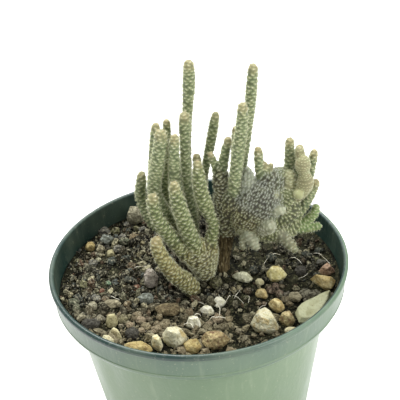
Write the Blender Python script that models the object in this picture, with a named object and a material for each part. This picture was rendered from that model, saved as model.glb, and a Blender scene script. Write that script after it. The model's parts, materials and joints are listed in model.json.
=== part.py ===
"""A small crested maihueniopsis in a round plastic nursery pot.

Metres, +Z up. The origin is the centre of the pot's foot, on the surface it stands on.
The plant faces -Y. Sizes below are in millimetres and are scaled by MM.
"""
import math
import random

import bmesh
import bpy
from mathutils import Matrix, Vector, geometry, noise

MM = 0.001
GAP = 0.3                # clearance between neighbouring pieces

# Pot
RIM_RADIUS = 50.0
POT_HEIGHT = 85.0
WALL = 1.0
FOOT_RADIUS = 32.0
FOOT_RING = 3.5          # width of the flat ring that the pot stands on
FLOOR_BOTTOM = 2.0
FLOOR_TOP = 3.2
COLLAR_RADIUS = 48.6     # outside, where the collar ends
COLLAR_DEPTH = 9.0       # from the lip's top to the seam
SHOULDER_RADIUS = 43.2   # outside, just below the shoulder
SHOULDER_DEPTH = 13.0
POT_SIDES = 36
DRAIN_HOLES = 6
DRAIN_RADIUS = 3.5
DRAIN_CIRCLE = 19.0

# Soil
SOIL_TOP = 76.0
SOIL_EDGE_CORNERS = 48
GRIT_SPACING = 3.7       # between the corners of the gritty top
GRIT_RELIEF = 2.0        # highest grit over the lowest
SEAT_LEVEL = -0.6        # underside of the stones, from SOIL_TOP

# Stems
TUBERCLE = 0.45          # how far a tubercle stands out from the dip beside it
RING_STEP = 2.9
SLIM_TIP = 2.1           # largest end radius of a stem that ends in a round tip
TIP_REACH = 0.85         # from a stem's end to its tip, over its end radius
SPINE_LENGTH = 1.1
SPINE_ROOT = 0.7         # sunk into the stem
SPINE_HALF_WIDTH = 0.27
SPINE_AREA = 55.0        # stem surface in square millimetres for each spine
SPINE_LEAN = 35.0        # degrees from square, towards the tip
SPINE_CLEARANCE = 0.45   # from a spine's tip to a neighbouring stem
GOLDEN_ANGLE = math.radians(137.508)

# Every stem is a path of (x, y, height over the soil, radius), root to tip.
BRANCHED_STEM = [
    # trunk and its inner core
    [(2, 1, -5, 2.8), (2, 1, 0.5, 2.9), (1.8, 0.5, 5, 4.0), (0.6, 0, 10, 5.0),
     (-0.4, -0.4, 13, 4.2)],
    # left arm of the V, bent like a J
    [(1, 0.5, 6, 3.2), (-1, -1, 9.5, 3.1), (-4.5, -2, 14, 2.7), (-8.5, -3, 20.5, 2.3),
     (-11.8, -4, 28, 1.9), (-13, -4, 34, 1.8), (-12.6, -4, 38, 1.7)],
    # front arm
    [(1.5, -0.5, 8, 3.2), (-1.4, -3, 18.5, 2.6), (-3.5, -4, 27, 2.3), (-5, -5, 34.5, 2.1),
     (-5.8, -5, 42.5, 1.6)],
    # right arm of the V
    [(3, 0.5, 6, 3.2), (4.3, 0.5, 15.5, 2.3), (5.2, 0.5, 22, 1.9), (4.5, 0, 30, 2.1),
     (3, -1, 38, 2.0), (2.2, -1, 47, 1.3)],
    # low back branch that carries the rest
    [(1.5, 2, 3.5, 2.6), (0, 5, 8, 2.9), (-3, 9, 13, 2.9), (-6, 12, 17.5, 2.1)],
    [(-1, 5, 9, 2.2), (-3.5, 4, 18, 2.2), (-4.3, 3, 26.5, 2.1), (-5.3, 3, 36, 2.1),
     (-5.1, 3, 47.5, 1.6), (-4.3, 3, 55, 1.4)],
    [(-1, 7, 11, 2.0), (-1.3, 8, 25, 2.0), (-2, 8, 35, 1.8), (-1.6, 8, 46, 1.5),
     (-1.1, 8, 55, 1.7), (-0.8, 8, 60, 1.6)],
    [(-3, 8, 12, 2.2), (-8, 7, 18, 2.3), (-10.2, 6, 24, 2.3), (-12.6, 5, 33.5, 2.1),
     (-10.8, 4, 43.5, 2.2), (-9, 4, 51, 2.1), (-8.7, 4, 56.5, 1.9)],
    [(-5, 11, 15, 1.9), (-10.5, 12, 20, 1.7), (-13, 12, 31, 1.5), (-11.7, 12, 44.5, 1.5),
     (-10.2, 12, 54.5, 1.4)],
    [(-5, 12, 15, 1.9), (-9, 14, 19.5, 1.7), (-9.5, 14, 29.5, 1.6), (-7.5, 14, 43, 1.3),
     (-6.8, 14, 54.5, 1.2)],
    [(-2, 10, 13, 2.0), (-1.6, 15, 21.5, 1.7), (-1.3, 16, 37.5, 1.4), (0, 16, 54.5, 1.5),
     (1.2, 16, 65, 1.9), (1.7, 16, 74, 1.7)],
    [(-6, 11, 14, 2.0), (-12.5, 10.5, 15, 1.9), (-16.4, 13, 20, 1.7), (-17.8, 15, 25.7, 1.7),
     (-17, 15, 31.5, 1.6), (-16.5, 15, 35, 1.3)],
    [(-1, 8, 13, 2.0), (1.2, 12, 26, 1.5), (2, 12, 36, 1.35), (2, 12, 42, 1.3)],
    [(-1, 9, 13, 1.8), (2.8, 14, 24.5, 1.3), (4.6, 14, 34.5, 1.2), (6.7, 14, 43.7, 1.5),
     (8.7, 14, 53, 1.4), (9.2, 14, 56, 1.2)],
]
LOW_STEM = [
    [(-2.6, -6, -5, 2.7), (-2.8, -6, 0.5, 2.8), (-4.3, -6.4, 3.8, 2.9), (-8, -8, 8.7, 2.6),
     (-11.2, -9, 15.5, 2.3), (-12.8, -9, 21, 1.9), (-12.4, -9, 24.8, 1.7)],
]
STALK_TOP = 15.0
CORKY_STALK = [
    [(8.2, 5.5, -5, 2.3), (8.2, 5.5, 0.5, 2.4), (8.7, 5.5, 6, 2.6), (9.6, 5.5, 11, 2.9),
     (10.2, 5.5, STALK_TOP, 3.1)],
]
CRESTED_STEM = [
    # neck on the stalk, and the block of the left shoulder
    [(10.3, 5.5, STALK_TOP + GAP, 3.4), (10.2, 5.4, 21, 3.7), (9.5, 4.8, 31, 2.7),
     (9.3, 4.5, 37, 2.5), (9.3, 4.5, 40, 2.2)],
    # broad ribs of the fan, from the top one round to the lowest one
    [(10.8, 5, 21, 3.4), (12.5, 4, 26, 4.2), (14.5, 3, 31, 4.4), (17.8, 2, 36, 2.9)],
    [(22, 3, 28, 4.4), (26, 3, 33, 4.6), (27.8, 3, 37, 3.1)],
    [(21, 2.4, 23.5, 4.4), (29.5, 2.5, 30, 4.7), (32.5, 3, 34.5, 3.3)],
    [(20, 1.4, 21.5, 4.2), (30, 1, 23.5, 4.2), (34.5, 2, 27.5, 2.9)],
    [(14, 3.4, 19.6, 3.4), (22, 0.8, 18.2, 4.0), (29, 0.5, 17.3, 3.5), (33, 1.5, 18.5, 2.4)],
    # tall fingers of the left shoulder
    [(9, 4.6, 36, 1.5), (7.6, 4.4, 42, 1.15), (6.2, 4, 47, 0.9)],
    [(9.4, 4.5, 37, 1.7), (11, 4.2, 45.5, 1.4), (12.6, 4, 52, 1.2)],
    [(11, 4, 22, 2.4), (12.5, 1, 27.5, 2.1), (13.5, 0.5, 36.5, 1.9), (15, 0, 47.5, 1.9),
     (16.7, 0, 58, 1.8), (17.3, 0, 66, 1.5)],
    [(12, 6, 22, 2.2), (15.2, 9, 28, 1.4), (17.4, 10, 39.5, 1.15), (19, 10, 50.5, 1.3),
     (20.5, 10, 63, 1.7), (21.6, 10, 74, 1.5)],
    [(11, 6.5, 27, 1.6), (13.8, 8, 36, 1.2), (14.4, 8, 44.7, 1.1), (15, 8, 53.5, 1.0)],
    # fingers, lobes and buds along the edge of the fan
    [(17.5, 1.5, 33, 3.0), (17.9, 0.5, 38, 2.3), (18, 0, 42.8, 0.9)],
    [(22.6, 2, 33, 1.7), (21.8, 2, 42, 1.45), (21.5, 2, 48.8, 1.3)],
    [(22.6, 2, 35, 1.5), (23.5, 2, 43.2, 1.1)],
    [(23, 2, 36, 1.6), (24.4, 2, 39.8, 1.3), (26, 2, 42.2, 1.0)],
    [(29, 3.2, 32, 3.0), (29.6, 3, 37.5, 2.5)],
    [(30.8, 5, 31, 1.7), (31.6, 5, 40, 1.5), (32, 5, 49.6, 1.4)],
    [(33.5, 5.5, 30, 1.7), (34.5, 5.5, 38, 1.6), (35.3, 5.5, 46.4, 1.4)],
    [(32.5, 1.5, 29, 3.0), (35, 0, 37, 2.6), (36, -1, 46, 2.0)],
    [(34, 1, 30, 3.0), (36.4, -1.2, 35.5, 2.6), (37.2, -2, 38.5, 2.0)],
    [(34.5, 4.5, 26, 1.7), (37, 6, 31, 1.7), (38.8, 6, 37, 1.4), (40, 6, 44, 1.3)],
    [(32.5, 2.5, 21, 1.7), (36.7, 3, 28.7, 1.7), (40.5, 3, 35, 1.5)],
    [(32.5, 0.5, 27, 2.2), (33.4, -3.5, 31.5, 1.6), (33.7, -5.4, 34.4, 1.85)],
    [(25.5, 0, 25, 1.7), (27.8, -4.8, 29.2, 1.5)],
    [(21.5, -1, 20, 2.8), (24, -5.6, 23.4, 2.2)],
    [(22.5, -1, 22, 2.4), (25.2, -4.8, 25.6, 1.9)],
    [(29, 1, 17.5, 2.8), (33, 2, 18.5, 2.4), (36.5, 2, 20.8, 1.9), (39.6, 2, 25.6, 1.3)],
    [(31, 1, 17, 1.7), (36, 1, 17, 1.6), (41.6, 1, 17.6, 1.3)],
    [(27, -0.5, 18, 2.6), (29.8, -4, 15.5, 1.8), (32.4, -6, 12.6, 1.5)],
    [(17, -0.5, 18.5, 2.9), (20, -5.6, 13.8, 1.9)],
    [(16, 0.5, 18, 1.7), (15.2, -4, 13, 1.4)],
]

# The bulging face of the fan, one broad rib whose rows of tubercles spread from the neck.
FAN_FACE = [(14.5, 2.2, 18.5, 3.4), (17.5, 1.2, 22.5, 6.6), (20.8, 1.0, 28, 8.4),
            (23.8, 1.4, 33, 7.0), (25.5, 1.8, 36, 4.6)]
FAN_FLATNESS = 0.68      # its depth over its width

# Stones as (colour, height, plan). The plan is the outline's corners where the photo shows them,
# or else a box (x, y, width, depth).
STONES = [
    ("tan", 3.2, [(11.0, -0.4), (14.2, 0.2), (16.7, -0.9), (18.0, -2.4), (17.5, -3.5), (15.0, -3.5),
                  (12.5, -2.2)]),
    ("yellow", 4.6, [(22.8, -0.7), (24.1, 0.1), (26.7, -0.3), (28.4, -1.4), (29.5, -2.5),
                     (26.5, -4.8), (23.7, -4.1), (22.8, -2.6)]),
    ("tan", 2.2, (20.0, -4.6, 3.0, 2.8)),
    ("ochre", 3.2, [(18.1, -10.4), (19.9, -10.1), (22.0, -10.7), (21.9, -13.3), (21.0, -13.3),
                    (18.0, -11.6)]),
    ("ochre", 4.0, [(21.8, -17.1), (23.7, -16.2), (25.0, -16.8), (26.9, -19.0), (26.7, -20.2),
                    (24.5, -20.9), (22.9, -19.5)]),
    ("cream", 6.6, [(15.3, -27.5), (17.0, -24.6), (20.0, -22.4), (21.9, -23.8), (23.0, -25.7),
                    (24.1, -29.5), (23.7, -31.1), (21.1, -31.8), (18.4, -31.1), (16.5, -29.3)]),
    ("yellow", 4.6, [(24.4, -25.9), (25.9, -24.3), (28.4, -24.8), (29.5, -26.6), (28.9, -27.8),
                     (26.6, -28.3), (25.1, -27.1)]),
    ("slab", 5.4, [(34.6, -20.2), (38.8, -18.3), (42.2, -17.0), (40.6, -21.2), (37.8, -25.4),
                   (35.0, -28.0), (30.6, -27.8), (30.0, -23.6), (31.8, -21.6)]),
    ("ochre", 4.0, [(37.0, -5.5), (38.5, -5.2), (45.0, -7.5), (44.4, -9.2), (43.4, -11.4),
                    (41.3, -11.0), (38.2, -7.4)]),
    ("rust", 3.6, [(40.0, -2.0), (41.3, -0.4), (43.6, 0.9), (45.4, -0.9), (45.5, -2.4),
                   (43.4, -3.6), (40.6, -2.8)]),
    ("white", 3.2, [(3.7, -14.2), (4.7, -12.9), (7.6, -13.0), (8.2, -14.4), (7.0, -15.8),
                    (4.8, -16.0), (3.8, -15.1)]),
    ("white", 2.8, [(-0.7, -17.3), (1.0, -16.0), (3.9, -17.7), (4.0, -19.4), (2.2, -19.8),
                    (0.1, -18.4)]),
    ("cream", 4.2, [(-4.8, -23.2), (-2.9, -22.7), (-0.6, -23.7), (-0.4, -25.2), (-0.8, -26.3),
                    (-3.2, -26.4), (-5.0, -25.1)]),
    ("cream", 6.0, [(-12.8, -29.6), (-10.9, -29.0), (-7.8, -30.0), (-5.2, -31.1), (-5.2, -32.8),
                    (-6.9, -34.9), (-8.7, -35.2), (-11.7, -33.0), (-12.7, -31.7)]),
    ("cream", 4.4, [(-16.4, -31.9), (-14.4, -30.7), (-12.9, -33.0), (-12.7, -34.4), (-13.6, -35.7),
                    (-15.8, -34.1)]),
    ("rust", 4.8, [(-0.8, -32.4), (1.3, -31.4), (4.4, -31.3), (6.8, -31.9), (8.3, -33.6),
                   (7.5, -35.0), (5.3, -36.6), (2.6, -37.2), (0.8, -36.4), (-0.2, -34.7)]),
    ("yellow", 3.8, (-3.4, -35.8, 5.6, 5.0)),
    ("ochre", 3.6, [(-26.0, -33.4), (-23.0, -32.8), (-18.4, -32.7), (-16.6, -34.0), (-16.0, -35.6),
                    (-17.4, -37.4), (-21.5, -38.0), (-25.0, -36.4)]),
    ("tan", 3.8, [(-29.9, -26.3), (-28.2, -25.3), (-26.4, -26.7), (-25.6, -28.7), (-27.0, -29.1),
                  (-29.3, -27.5)]),
    ("cream", 4.6, [(-31.0, -19.5), (-27.4, -18.8), (-27.0, -20.7), (-28.1, -22.0),
                    (-30.9, -22.3)]),
    ("cream", 4.8, (-30.0, -31.4, 4.2, 3.4)),
    ("pumice", 7.0, (-22.2, 37.2, 5.6, 5.0)),
    ("yellow", 3.4, (-38.0, 22.2, 3.6, 3.2)),
    ("tan", 2.8, (-34.2, 20.4, 3.2, 3.0)),
    ("cream", 2.6, (-30.6, 17.6, 2.7, 2.6)),
    ("pumice", 7.2, (-16.2, -1.2, 4.6, 4.0)),
    ("grey", 3.6, (-18.1, -9.8, 5.2, 4.4)),
    ("grey", 3.0, (-35.7, -11.6, 3.2, 3.2)),
    ("dark", 3.6, (-35.8, -21.6, 6.4, 4.4)),
    ("tan", 2.4, (-29.3, -10.8, 6.0, 3.6)),
    ("bark", 3.6, (-10.8, -16.4, 8.6, 5.4)),
    ("dark", 3.4, (-22.5, -27.5, 4.6, 4.2)),
    ("rust", 2.8, (30.9, -14.2, 4.6, 3.8)),
    ("dark", 2.8, (34.3, -0.2, 4.2, 3.8)),
    ("cream", 3.0, (27.8, -31.6, 4.4, 2.8)),
    ("grey", 3.4, (-32.3, 25.6, 5.0, 4.2)),
]
STONE_POINTS = 17
# Rings of a stone with an outline as (share of its height, share of its outline), bottom to top.
STONE_RINGS = [(0.0, 0.78), (0.34, 1.0), (1.0, 0.6)]
SLAB_FRONT = 3.0         # height of the slab's front edge; its top rises from there to the back
SEAT_ROOM = 0.45         # flat soil round the outline of a stone

COLOURS = {
    "pot": ("47655a", 0.42),
    "soil": ("3a3129", 0.95),
    "branched": ("6f7650", 0.7),
    "crested": ("868c72", 0.75),
    "low": ("858550", 0.7),
    "cork": ("3d2d1e", 0.9),
    "tan": ("bfa67c", 0.85),
    "yellow": ("d8c68a", 0.8),
    "ochre": ("c9a064", 0.8),
    "cream": ("e0d6b0", 0.85),
    "white": ("e6e2cf", 0.85),
    "slab": ("b9bda0", 0.85),
    "rust": ("8f6a50", 0.9),
    "pumice": ("8d8079", 0.95),
    "grey": ("7f8688", 0.9),
    "dark": ("4a4644", 0.9),
    "bark": ("5c4636", 0.95),
}


def linear(hex_colour):
    """Turn an sRGB hex colour into a linear RGBA tuple."""
    values = []
    for start in (0, 2, 4):
        value = int(hex_colour[start:start + 2], 16) / 255
        values.append(value / 12.92 if value <= 0.04045 else ((value + 0.055) / 1.055) ** 2.4)
    return (*values, 1.0)


def material(name):
    """Give the plain material of one colour name, made once."""
    found = bpy.data.materials.get(name)
    if found:
        return found
    colour, roughness = COLOURS[name]
    made = bpy.data.materials.new(name)
    made.use_nodes = True
    shader = made.node_tree.nodes["Principled BSDF"]
    shader.inputs["Base Color"].default_value = linear(colour)
    shader.inputs["Roughness"].default_value = roughness
    shader.inputs["Metallic"].default_value = 0.0
    made.diffuse_color = linear(colour)
    return made


def add_object(name, mesh, colour=None, collection=None):
    """Link a new object for the mesh, with its material if it has one."""
    made = bpy.data.objects.new(name, mesh)
    (collection or bpy.context.scene.collection).objects.link(made)
    if colour:
        mesh.materials.append(material(colour))
    return made


def finish_mesh(bm, name):
    """Scale a bmesh from millimetres to metres and turn it into a mesh."""
    bmesh.ops.recalc_face_normals(bm, faces=bm.faces)
    bmesh.ops.scale(bm, vec=(MM, MM, MM), verts=bm.verts)
    mesh = bpy.data.meshes.new(name)
    bm.to_mesh(mesh)
    bm.free()
    return mesh


def apply_modifiers(obj):
    """Keep the evaluated shape as the object's own mesh."""
    graph = bpy.context.evaluated_depsgraph_get()
    mesh = bpy.data.meshes.new_from_object(obj.evaluated_get(graph))
    mesh.name = obj.name
    obj.modifiers.clear()
    obj.data = mesh


def boolean(obj, cutters, operation):
    """Apply one Boolean with every object of a collection, then remove those objects."""
    step = obj.modifiers.new(operation.title(), "BOOLEAN")
    step.operation = operation
    step.operand_type = "COLLECTION"
    step.collection = cutters
    step.solver = "EXACT"
    apply_modifiers(obj)
    for other in list(cutters.objects):
        bpy.data.objects.remove(other, do_unlink=True)
    bpy.data.collections.remove(cutters)


def keep_outer_skin(obj):
    """Drop every sealed hollow and loose scrap that a union left, and keep the main body."""
    bm = bmesh.new()
    bm.from_mesh(obj.data)
    islands = []
    left = set(bm.verts)
    while left:
        island = {left.pop()}
        edge_of_island = list(island)
        while edge_of_island:
            corner = edge_of_island.pop()
            for edge in corner.link_edges:
                other = edge.other_vert(corner)
                if other in left:
                    left.remove(other)
                    island.add(other)
                    edge_of_island.append(other)
        islands.append(island)
    islands.sort(key=len, reverse=True)
    for island in islands[1:]:
        bmesh.ops.delete(bm, geom=list(island), context="VERTS")
    bm.to_mesh(obj.data)
    bm.free()


def new_collection(name):
    made = bpy.data.collections.new(name)
    bpy.context.scene.collection.children.link(made)
    return made


def smooth(obj, degrees):
    """Shade round faces smooth and keep the edges above the angle sharp."""
    obj.data.shade_smooth()
    obj.data.set_sharp_from_angle(angle=math.radians(degrees))


def add_cylinder(name, centre, radius, bottom, top, sides, collection):
    bm = bmesh.new()
    bmesh.ops.create_cone(bm, cap_ends=True, segments=sides, radius1=radius, radius2=radius,
                          depth=top - bottom)
    bmesh.ops.translate(bm, verts=bm.verts, vec=(*centre, (top + bottom) / 2))
    return add_object(name, finish_mesh(bm, name), collection=collection)


def pot_profile():
    """Half section of the pot, from under the floor round the outside and back down inside."""
    seam = POT_HEIGHT - COLLAR_DEPTH
    shoulder = POT_HEIGHT - SHOULDER_DEPTH
    outside = [
        (RIM_RADIUS - 0.9, POT_HEIGHT),
        (RIM_RADIUS, POT_HEIGHT - 0.8),
        (RIM_RADIUS - 0.1, POT_HEIGHT - 1.7),
        (RIM_RADIUS - 0.8, POT_HEIGHT - 2.3),
        (COLLAR_RADIUS + 0.3, seam + 0.3),
        (COLLAR_RADIUS, seam),
        (COLLAR_RADIUS - 0.5, seam - 2.1),
        (SHOULDER_RADIUS, shoulder),
        (FOOT_RADIUS, 0.8),
        (FOOT_RADIUS - 0.6, 0.0),
    ]
    under = [
        (FOOT_RADIUS - 0.6 - FOOT_RING, 0.0),
        (FOOT_RADIUS - 1.0 - FOOT_RING, FLOOR_BOTTOM),
        (0.0, FLOOR_BOTTOM),
    ]
    inside = [
        (0.0, FLOOR_TOP),
        (FOOT_RADIUS - 0.6, FLOOR_TOP),
        (SHOULDER_RADIUS - WALL, shoulder + 0.3),
        (COLLAR_RADIUS - 1.5, seam - 1.8),
        (COLLAR_RADIUS - WALL, seam),
        (RIM_RADIUS - 1.9, POT_HEIGHT - 1.4),
        (RIM_RADIUS - 1.8, POT_HEIGHT - 0.5),
    ]
    return outside + under + inside


def build_pot():
    points = pot_profile()
    mesh = bpy.data.meshes.new("pot")
    edges = [(i, i + 1) for i in range(len(points) - 1)] + [(len(points) - 1, 0)]
    axis_edge = next(i for i, (a, b) in enumerate(edges) if points[a][0] == points[b][0] == 0)
    edges.pop(axis_edge)
    mesh.from_pydata([(r * MM, 0, z * MM) for r, z in points], edges, [])
    pot = add_object("pot", mesh, "pot")
    turn = pot.modifiers.new("Turned wall", "SCREW")
    turn.axis = "Z"
    turn.steps = POT_SIDES
    turn.render_steps = POT_SIDES
    turn.use_merge_vertices = True
    turn.merge_threshold = 0.00001
    apply_modifiers(pot)
    holes = new_collection("drain holes")
    for index in range(DRAIN_HOLES):
        angle = math.tau * (index + 0.5) / DRAIN_HOLES
        centre = (DRAIN_CIRCLE * math.cos(angle), DRAIN_CIRCLE * math.sin(angle))
        add_cylinder("drain hole", centre, DRAIN_RADIUS, FLOOR_BOTTOM - 1, FLOOR_TOP + 1, 10, holes)
    boolean(pot, holes, "DIFFERENCE")
    smooth(pot, 35)


def stem_roots():
    """Centre and radius of the three stems where they leave the soil."""
    return [(stem[0][0][0], stem[0][0][1], max(stem[0][0][3], stem[0][1][3]))
            for stem in (BRANCHED_STEM, LOW_STEM, CORKY_STALK)]


def plan_centre(plan):
    """Middle of a stone's plan."""
    if isinstance(plan, tuple):
        return Vector(plan[:2])
    return sum((Vector(corner) for corner in plan), Vector((0, 0))) / len(plan)


def round_seat(x, y, radius):
    """Eight corners on a circle."""
    return [Vector((x + radius * math.cos(math.tau * i / 8),
                    y + radius * math.sin(math.tau * i / 8))) for i in range(8)]


def soil_seats():
    """Flat places on the soil, each as convex corners: under each stone and round each stem."""
    seats = []
    for _, _, plan in STONES:
        if isinstance(plan, tuple):
            x, y, width, depth = plan
            seats.append(round_seat(x, y, max(width, depth) / 2 + SEAT_ROOM))
        else:
            middle = plan_centre(plan)
            outline = [Vector(corner) for corner in reversed(plan)]
            seats.append([corner + (corner - middle).normalized() * SEAT_ROOM
                          for corner in outline])
    seats += [round_seat(x, y, radius + 1.4) for x, y, radius in stem_roots()]
    low_x, low_y = LOW_STEM[0][2][:2]
    seats.append(round_seat(low_x - 1.0, low_y, 4.4))
    return seats


def inside_seat(spot, seats, margin):
    """Whether a spot is inside a seat, or nearer to one than the margin."""
    for seat in seats:
        away = -1e9
        for corner, after in zip(seat, seat[1:] + seat[:1]):
            edge = (after - corner).normalized()
            away = max(away, (spot.x - corner.x) * edge.y - (spot.y - corner.y) * edge.x)
        if away < margin:
            return True
    return False


def soil_plan(edge):
    """Corners of the gritty top seen from above, and the edges that its mesh must keep."""
    draw = random.Random(7)
    seats = soil_seats()
    corners = []
    edges = []
    border = [Vector((edge * math.cos(math.tau * i / SOIL_EDGE_CORNERS),
                      edge * math.sin(math.tau * i / SOIL_EDGE_CORNERS)))
              for i in range(SOIL_EDGE_CORNERS)]
    for ring in [border] + seats:
        first = len(corners)
        corners += ring
        edges += [(first + i, first + (i + 1) % len(ring)) for i in range(len(ring))]
    rows = int(2 * edge / (GRIT_SPACING * 0.87))
    for row in range(rows + 1):
        y = -edge + row * GRIT_SPACING * 0.87
        for column in range(int(2 * edge / GRIT_SPACING) + 1):
            x = -edge + (column + 0.5 * (row % 2)) * GRIT_SPACING
            spot = Vector((x + draw.uniform(-0.7, 0.7), y + draw.uniform(-0.7, 0.7)))
            if spot.length < edge - 1.3 and not inside_seat(spot, seats, 0.9):
                corners.append(spot)
    return corners, edges, seats


def build_soil():
    """Filling of the pot: gritty on top with a flat seat for each stone, closed at the floor."""
    draw = random.Random(11)
    seam = POT_HEIGHT - COLLAR_DEPTH
    shoulder = POT_HEIGHT - SHOULDER_DEPTH
    edge = COLLAR_RADIUS - WALL - GAP - 0.5
    corners, edges, seats = soil_plan(edge)
    plan = geometry.delaunay_2d_cdt(corners, edges, [], 0, 0.0001)
    bm = bmesh.new()
    top = []
    rim = []
    for place in plan[0]:
        height = SOIL_TOP + SEAT_LEVEL - GAP
        if not inside_seat(place, seats, 0.02):
            mound = 0.5 + 0.5 * noise.noise(Vector((place.x * 0.13, place.y * 0.13, 3.1)))
            height += GRIT_RELIEF * (0.45 * mound + 0.55 * draw.random())
        on_edge = place.length > edge - 0.01
        if on_edge:
            height = max(height, SOIL_TOP + 0.1)
        vert = bm.verts.new((place.x, place.y, height))
        top.append(vert)
        if on_edge:
            rim.append(vert)
    for face in plan[2]:
        bm.faces.new([top[index] for index in face])
    rim.sort(key=lambda v: math.atan2(v.co.y, v.co.x))
    levels = [(edge - 0.3, seam - 1.6),
              (SHOULDER_RADIUS - WALL - GAP - 0.5, shoulder + 0.45),
              (FOOT_RADIUS - 0.6 - GAP - 0.3, FLOOR_TOP + GAP)]
    above = rim
    for radius, height in levels:
        below = [bm.verts.new((radius * v.co.x / edge, radius * v.co.y / edge, height))
                 for v in rim]
        for corner in range(len(below)):
            after = (corner + 1) % len(below)
            bm.faces.new((above[corner], above[after], below[after], below[corner]))
        above = below
    bm.faces.new(above)
    soil = add_object("soil", finish_mesh(bm, "soil"), "soil")
    holes = new_collection("stem holes")
    for x, y, radius in stem_roots():
        add_cylinder("stem hole", (x, y), (radius + GAP + 0.15) / math.cos(math.pi / 16),
                     SOIL_TOP - 5 - 2 * GAP, SOIL_TOP + 4, 16, holes)
    boolean(soil, holes, "DIFFERENCE")
    smooth(soil, 30)


def curve_points(path, step):
    """Points along a smooth curve through the path, about one step apart, as (place, radius)."""
    ends = [tuple(2 * a - b for a, b in zip(path[0], path[1]))] + list(path)
    ends += [tuple(2 * a - b for a, b in zip(path[-1], path[-2]))]
    dense = []
    for p0, p1, p2, p3 in zip(ends, ends[1:], ends[2:], ends[3:]):
        for part in range(12):
            t = part / 12
            dense.append(tuple(
                0.5 * (2 * b + (c - a) * t + (2 * a - 5 * b + 4 * c - d) * t * t
                       + (3 * b - a - 3 * c + d) * t ** 3)
                for a, b, c, d in zip(p0, p1, p2, p3)))
    dense.append(tuple(path[-1]))
    lengths = [0.0]
    for a, b in zip(dense, dense[1:]):
        lengths.append(lengths[-1] + (Vector(b[:3]) - Vector(a[:3])).length)
    count = max(2, round(lengths[-1] / step))
    result = []
    place = 0
    for index in range(count + 1):
        target = lengths[-1] * index / count
        while place < len(lengths) - 2 and lengths[place + 1] < target:
            place += 1
        t = (target - lengths[place]) / (lengths[place + 1] - lengths[place])
        a, b = dense[place], dense[place + 1]
        mixed = [u + (v - u) * t for u, v in zip(a, b)]
        result.append((Vector(mixed[:3]), mixed[3]))
    return result


def to_tip(path):
    """Draw a slim stem's end back, so that its round tip reaches the last point of the path."""
    place, radius = Vector(path[-1][:3]), path[-1][3]
    if radius > SLIM_TIP:
        return path
    along = (place - Vector(path[-2][:3])).normalized()
    return path[:-1] + [(*(place - along * radius * TIP_REACH), radius)]


def frames(points):
    """Carry a side vector along the curve without twist: (place, radius, along, side, up)."""
    result = []
    side = None
    for index, (place, radius) in enumerate(points):
        before = points[max(0, index - 1)][0]
        after = points[min(len(points) - 1, index + 1)][0]
        along = (after - before).normalized()
        if side is None:
            side = along.cross(Vector((0, 1, 0)) if abs(along.y) < 0.9 else Vector((1, 0, 0)))
        side = (side - along * side.dot(along)).normalized()
        result.append((place, radius, along, side, along.cross(side)))
    return result


def tube_mesh(name, path, flat_start=False, flat_end=False, flatness=1.0):
    """A closed stem with a tubercle at every second corner, shifted from ring to ring."""
    widest = max(point[3] for point in path)
    sides = 6 if widest < 1.75 else 8 if widest < 3.3 else 10 if widest < 6 else 20
    step = RING_STEP * (1.0 if widest < 3.3 else 1.2)
    rings = frames(curve_points(path, step))
    bm = bmesh.new()
    made = []
    profile = []
    for index, (place, radius, along, side, up) in enumerate(rings):
        plain = path[0][2] < 0 and place.z < 1.2 or (flat_start and index == 0)
        if flat_end and index == len(rings) - 1:
            plain = True
        profile.append((place, radius, along, side, up, plain))
    if not flat_end:
        place, radius, along, side, up = rings[-1]
        profile[-1] = (place - along * radius * 0.45, radius, along, side, up, False)
        profile.append((place + along * radius * 0.35, radius * 0.72, along, side, up, False))
    for index, (place, radius, along, side, up, plain) in enumerate(profile):
        ring = []
        for corner in range(sides):
            angle = math.tau * corner / sides
            high = (corner + index) % 2 == 0
            relief = 0.0 if plain else TUBERCLE * min(2.0, radius / 1.8)
            bump = relief * (0.5 if high else -0.5)
            offset = (side * math.cos(angle) + up * math.sin(angle)) * (radius + bump)
            offset.y *= flatness
            if (flat_start and index == 0) or (flat_end and index == len(profile) - 1):
                offset.z = 0.0
            ring.append(bm.verts.new(place + offset))
        made.append(ring)
    for index, (low, top) in enumerate(zip(made, made[1:])):
        for corner in range(sides):
            after = (corner + 1) % sides
            a, b, c, d = low[corner], low[after], top[after], top[corner]
            if (corner + index) % 2 == 0:
                bm.faces.new((a, b, d))
                bm.faces.new((b, c, d))
            else:
                bm.faces.new((a, b, c))
                bm.faces.new((a, c, d))
    bm.faces.new(list(reversed(made[0])))
    if flat_end:
        bm.faces.new(made[-1])
    else:
        place, radius, along, _, _ = rings[-1]
        tip = bm.verts.new(place + along * radius * TIP_REACH)
        for corner in range(sides):
            bm.faces.new((made[-1][corner], made[-1][(corner + 1) % sides], tip))
    bmesh.ops.translate(bm, verts=bm.verts, vec=(0, 0, SOIL_TOP))
    return finish_mesh(bm, name)


def depth_inside(point, stems, own=None):
    """How far a point lies inside the nearest stem of a list, below zero when outside."""
    deepest = -1e9
    for index, (stem, flatness) in enumerate(stems):
        if index == own:
            continue
        for (p0, r0), (p1, r1) in zip(stem, stem[1:]):
            line = p1 - p0
            t = max(0.0, min(1.0, (point - p0).dot(line) / line.length_squared))
            away = point - p0 - line * t
            away.y /= flatness
            deepest = max(deepest, r0 + (r1 - r0) * t - away.length)
    return deepest


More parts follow.
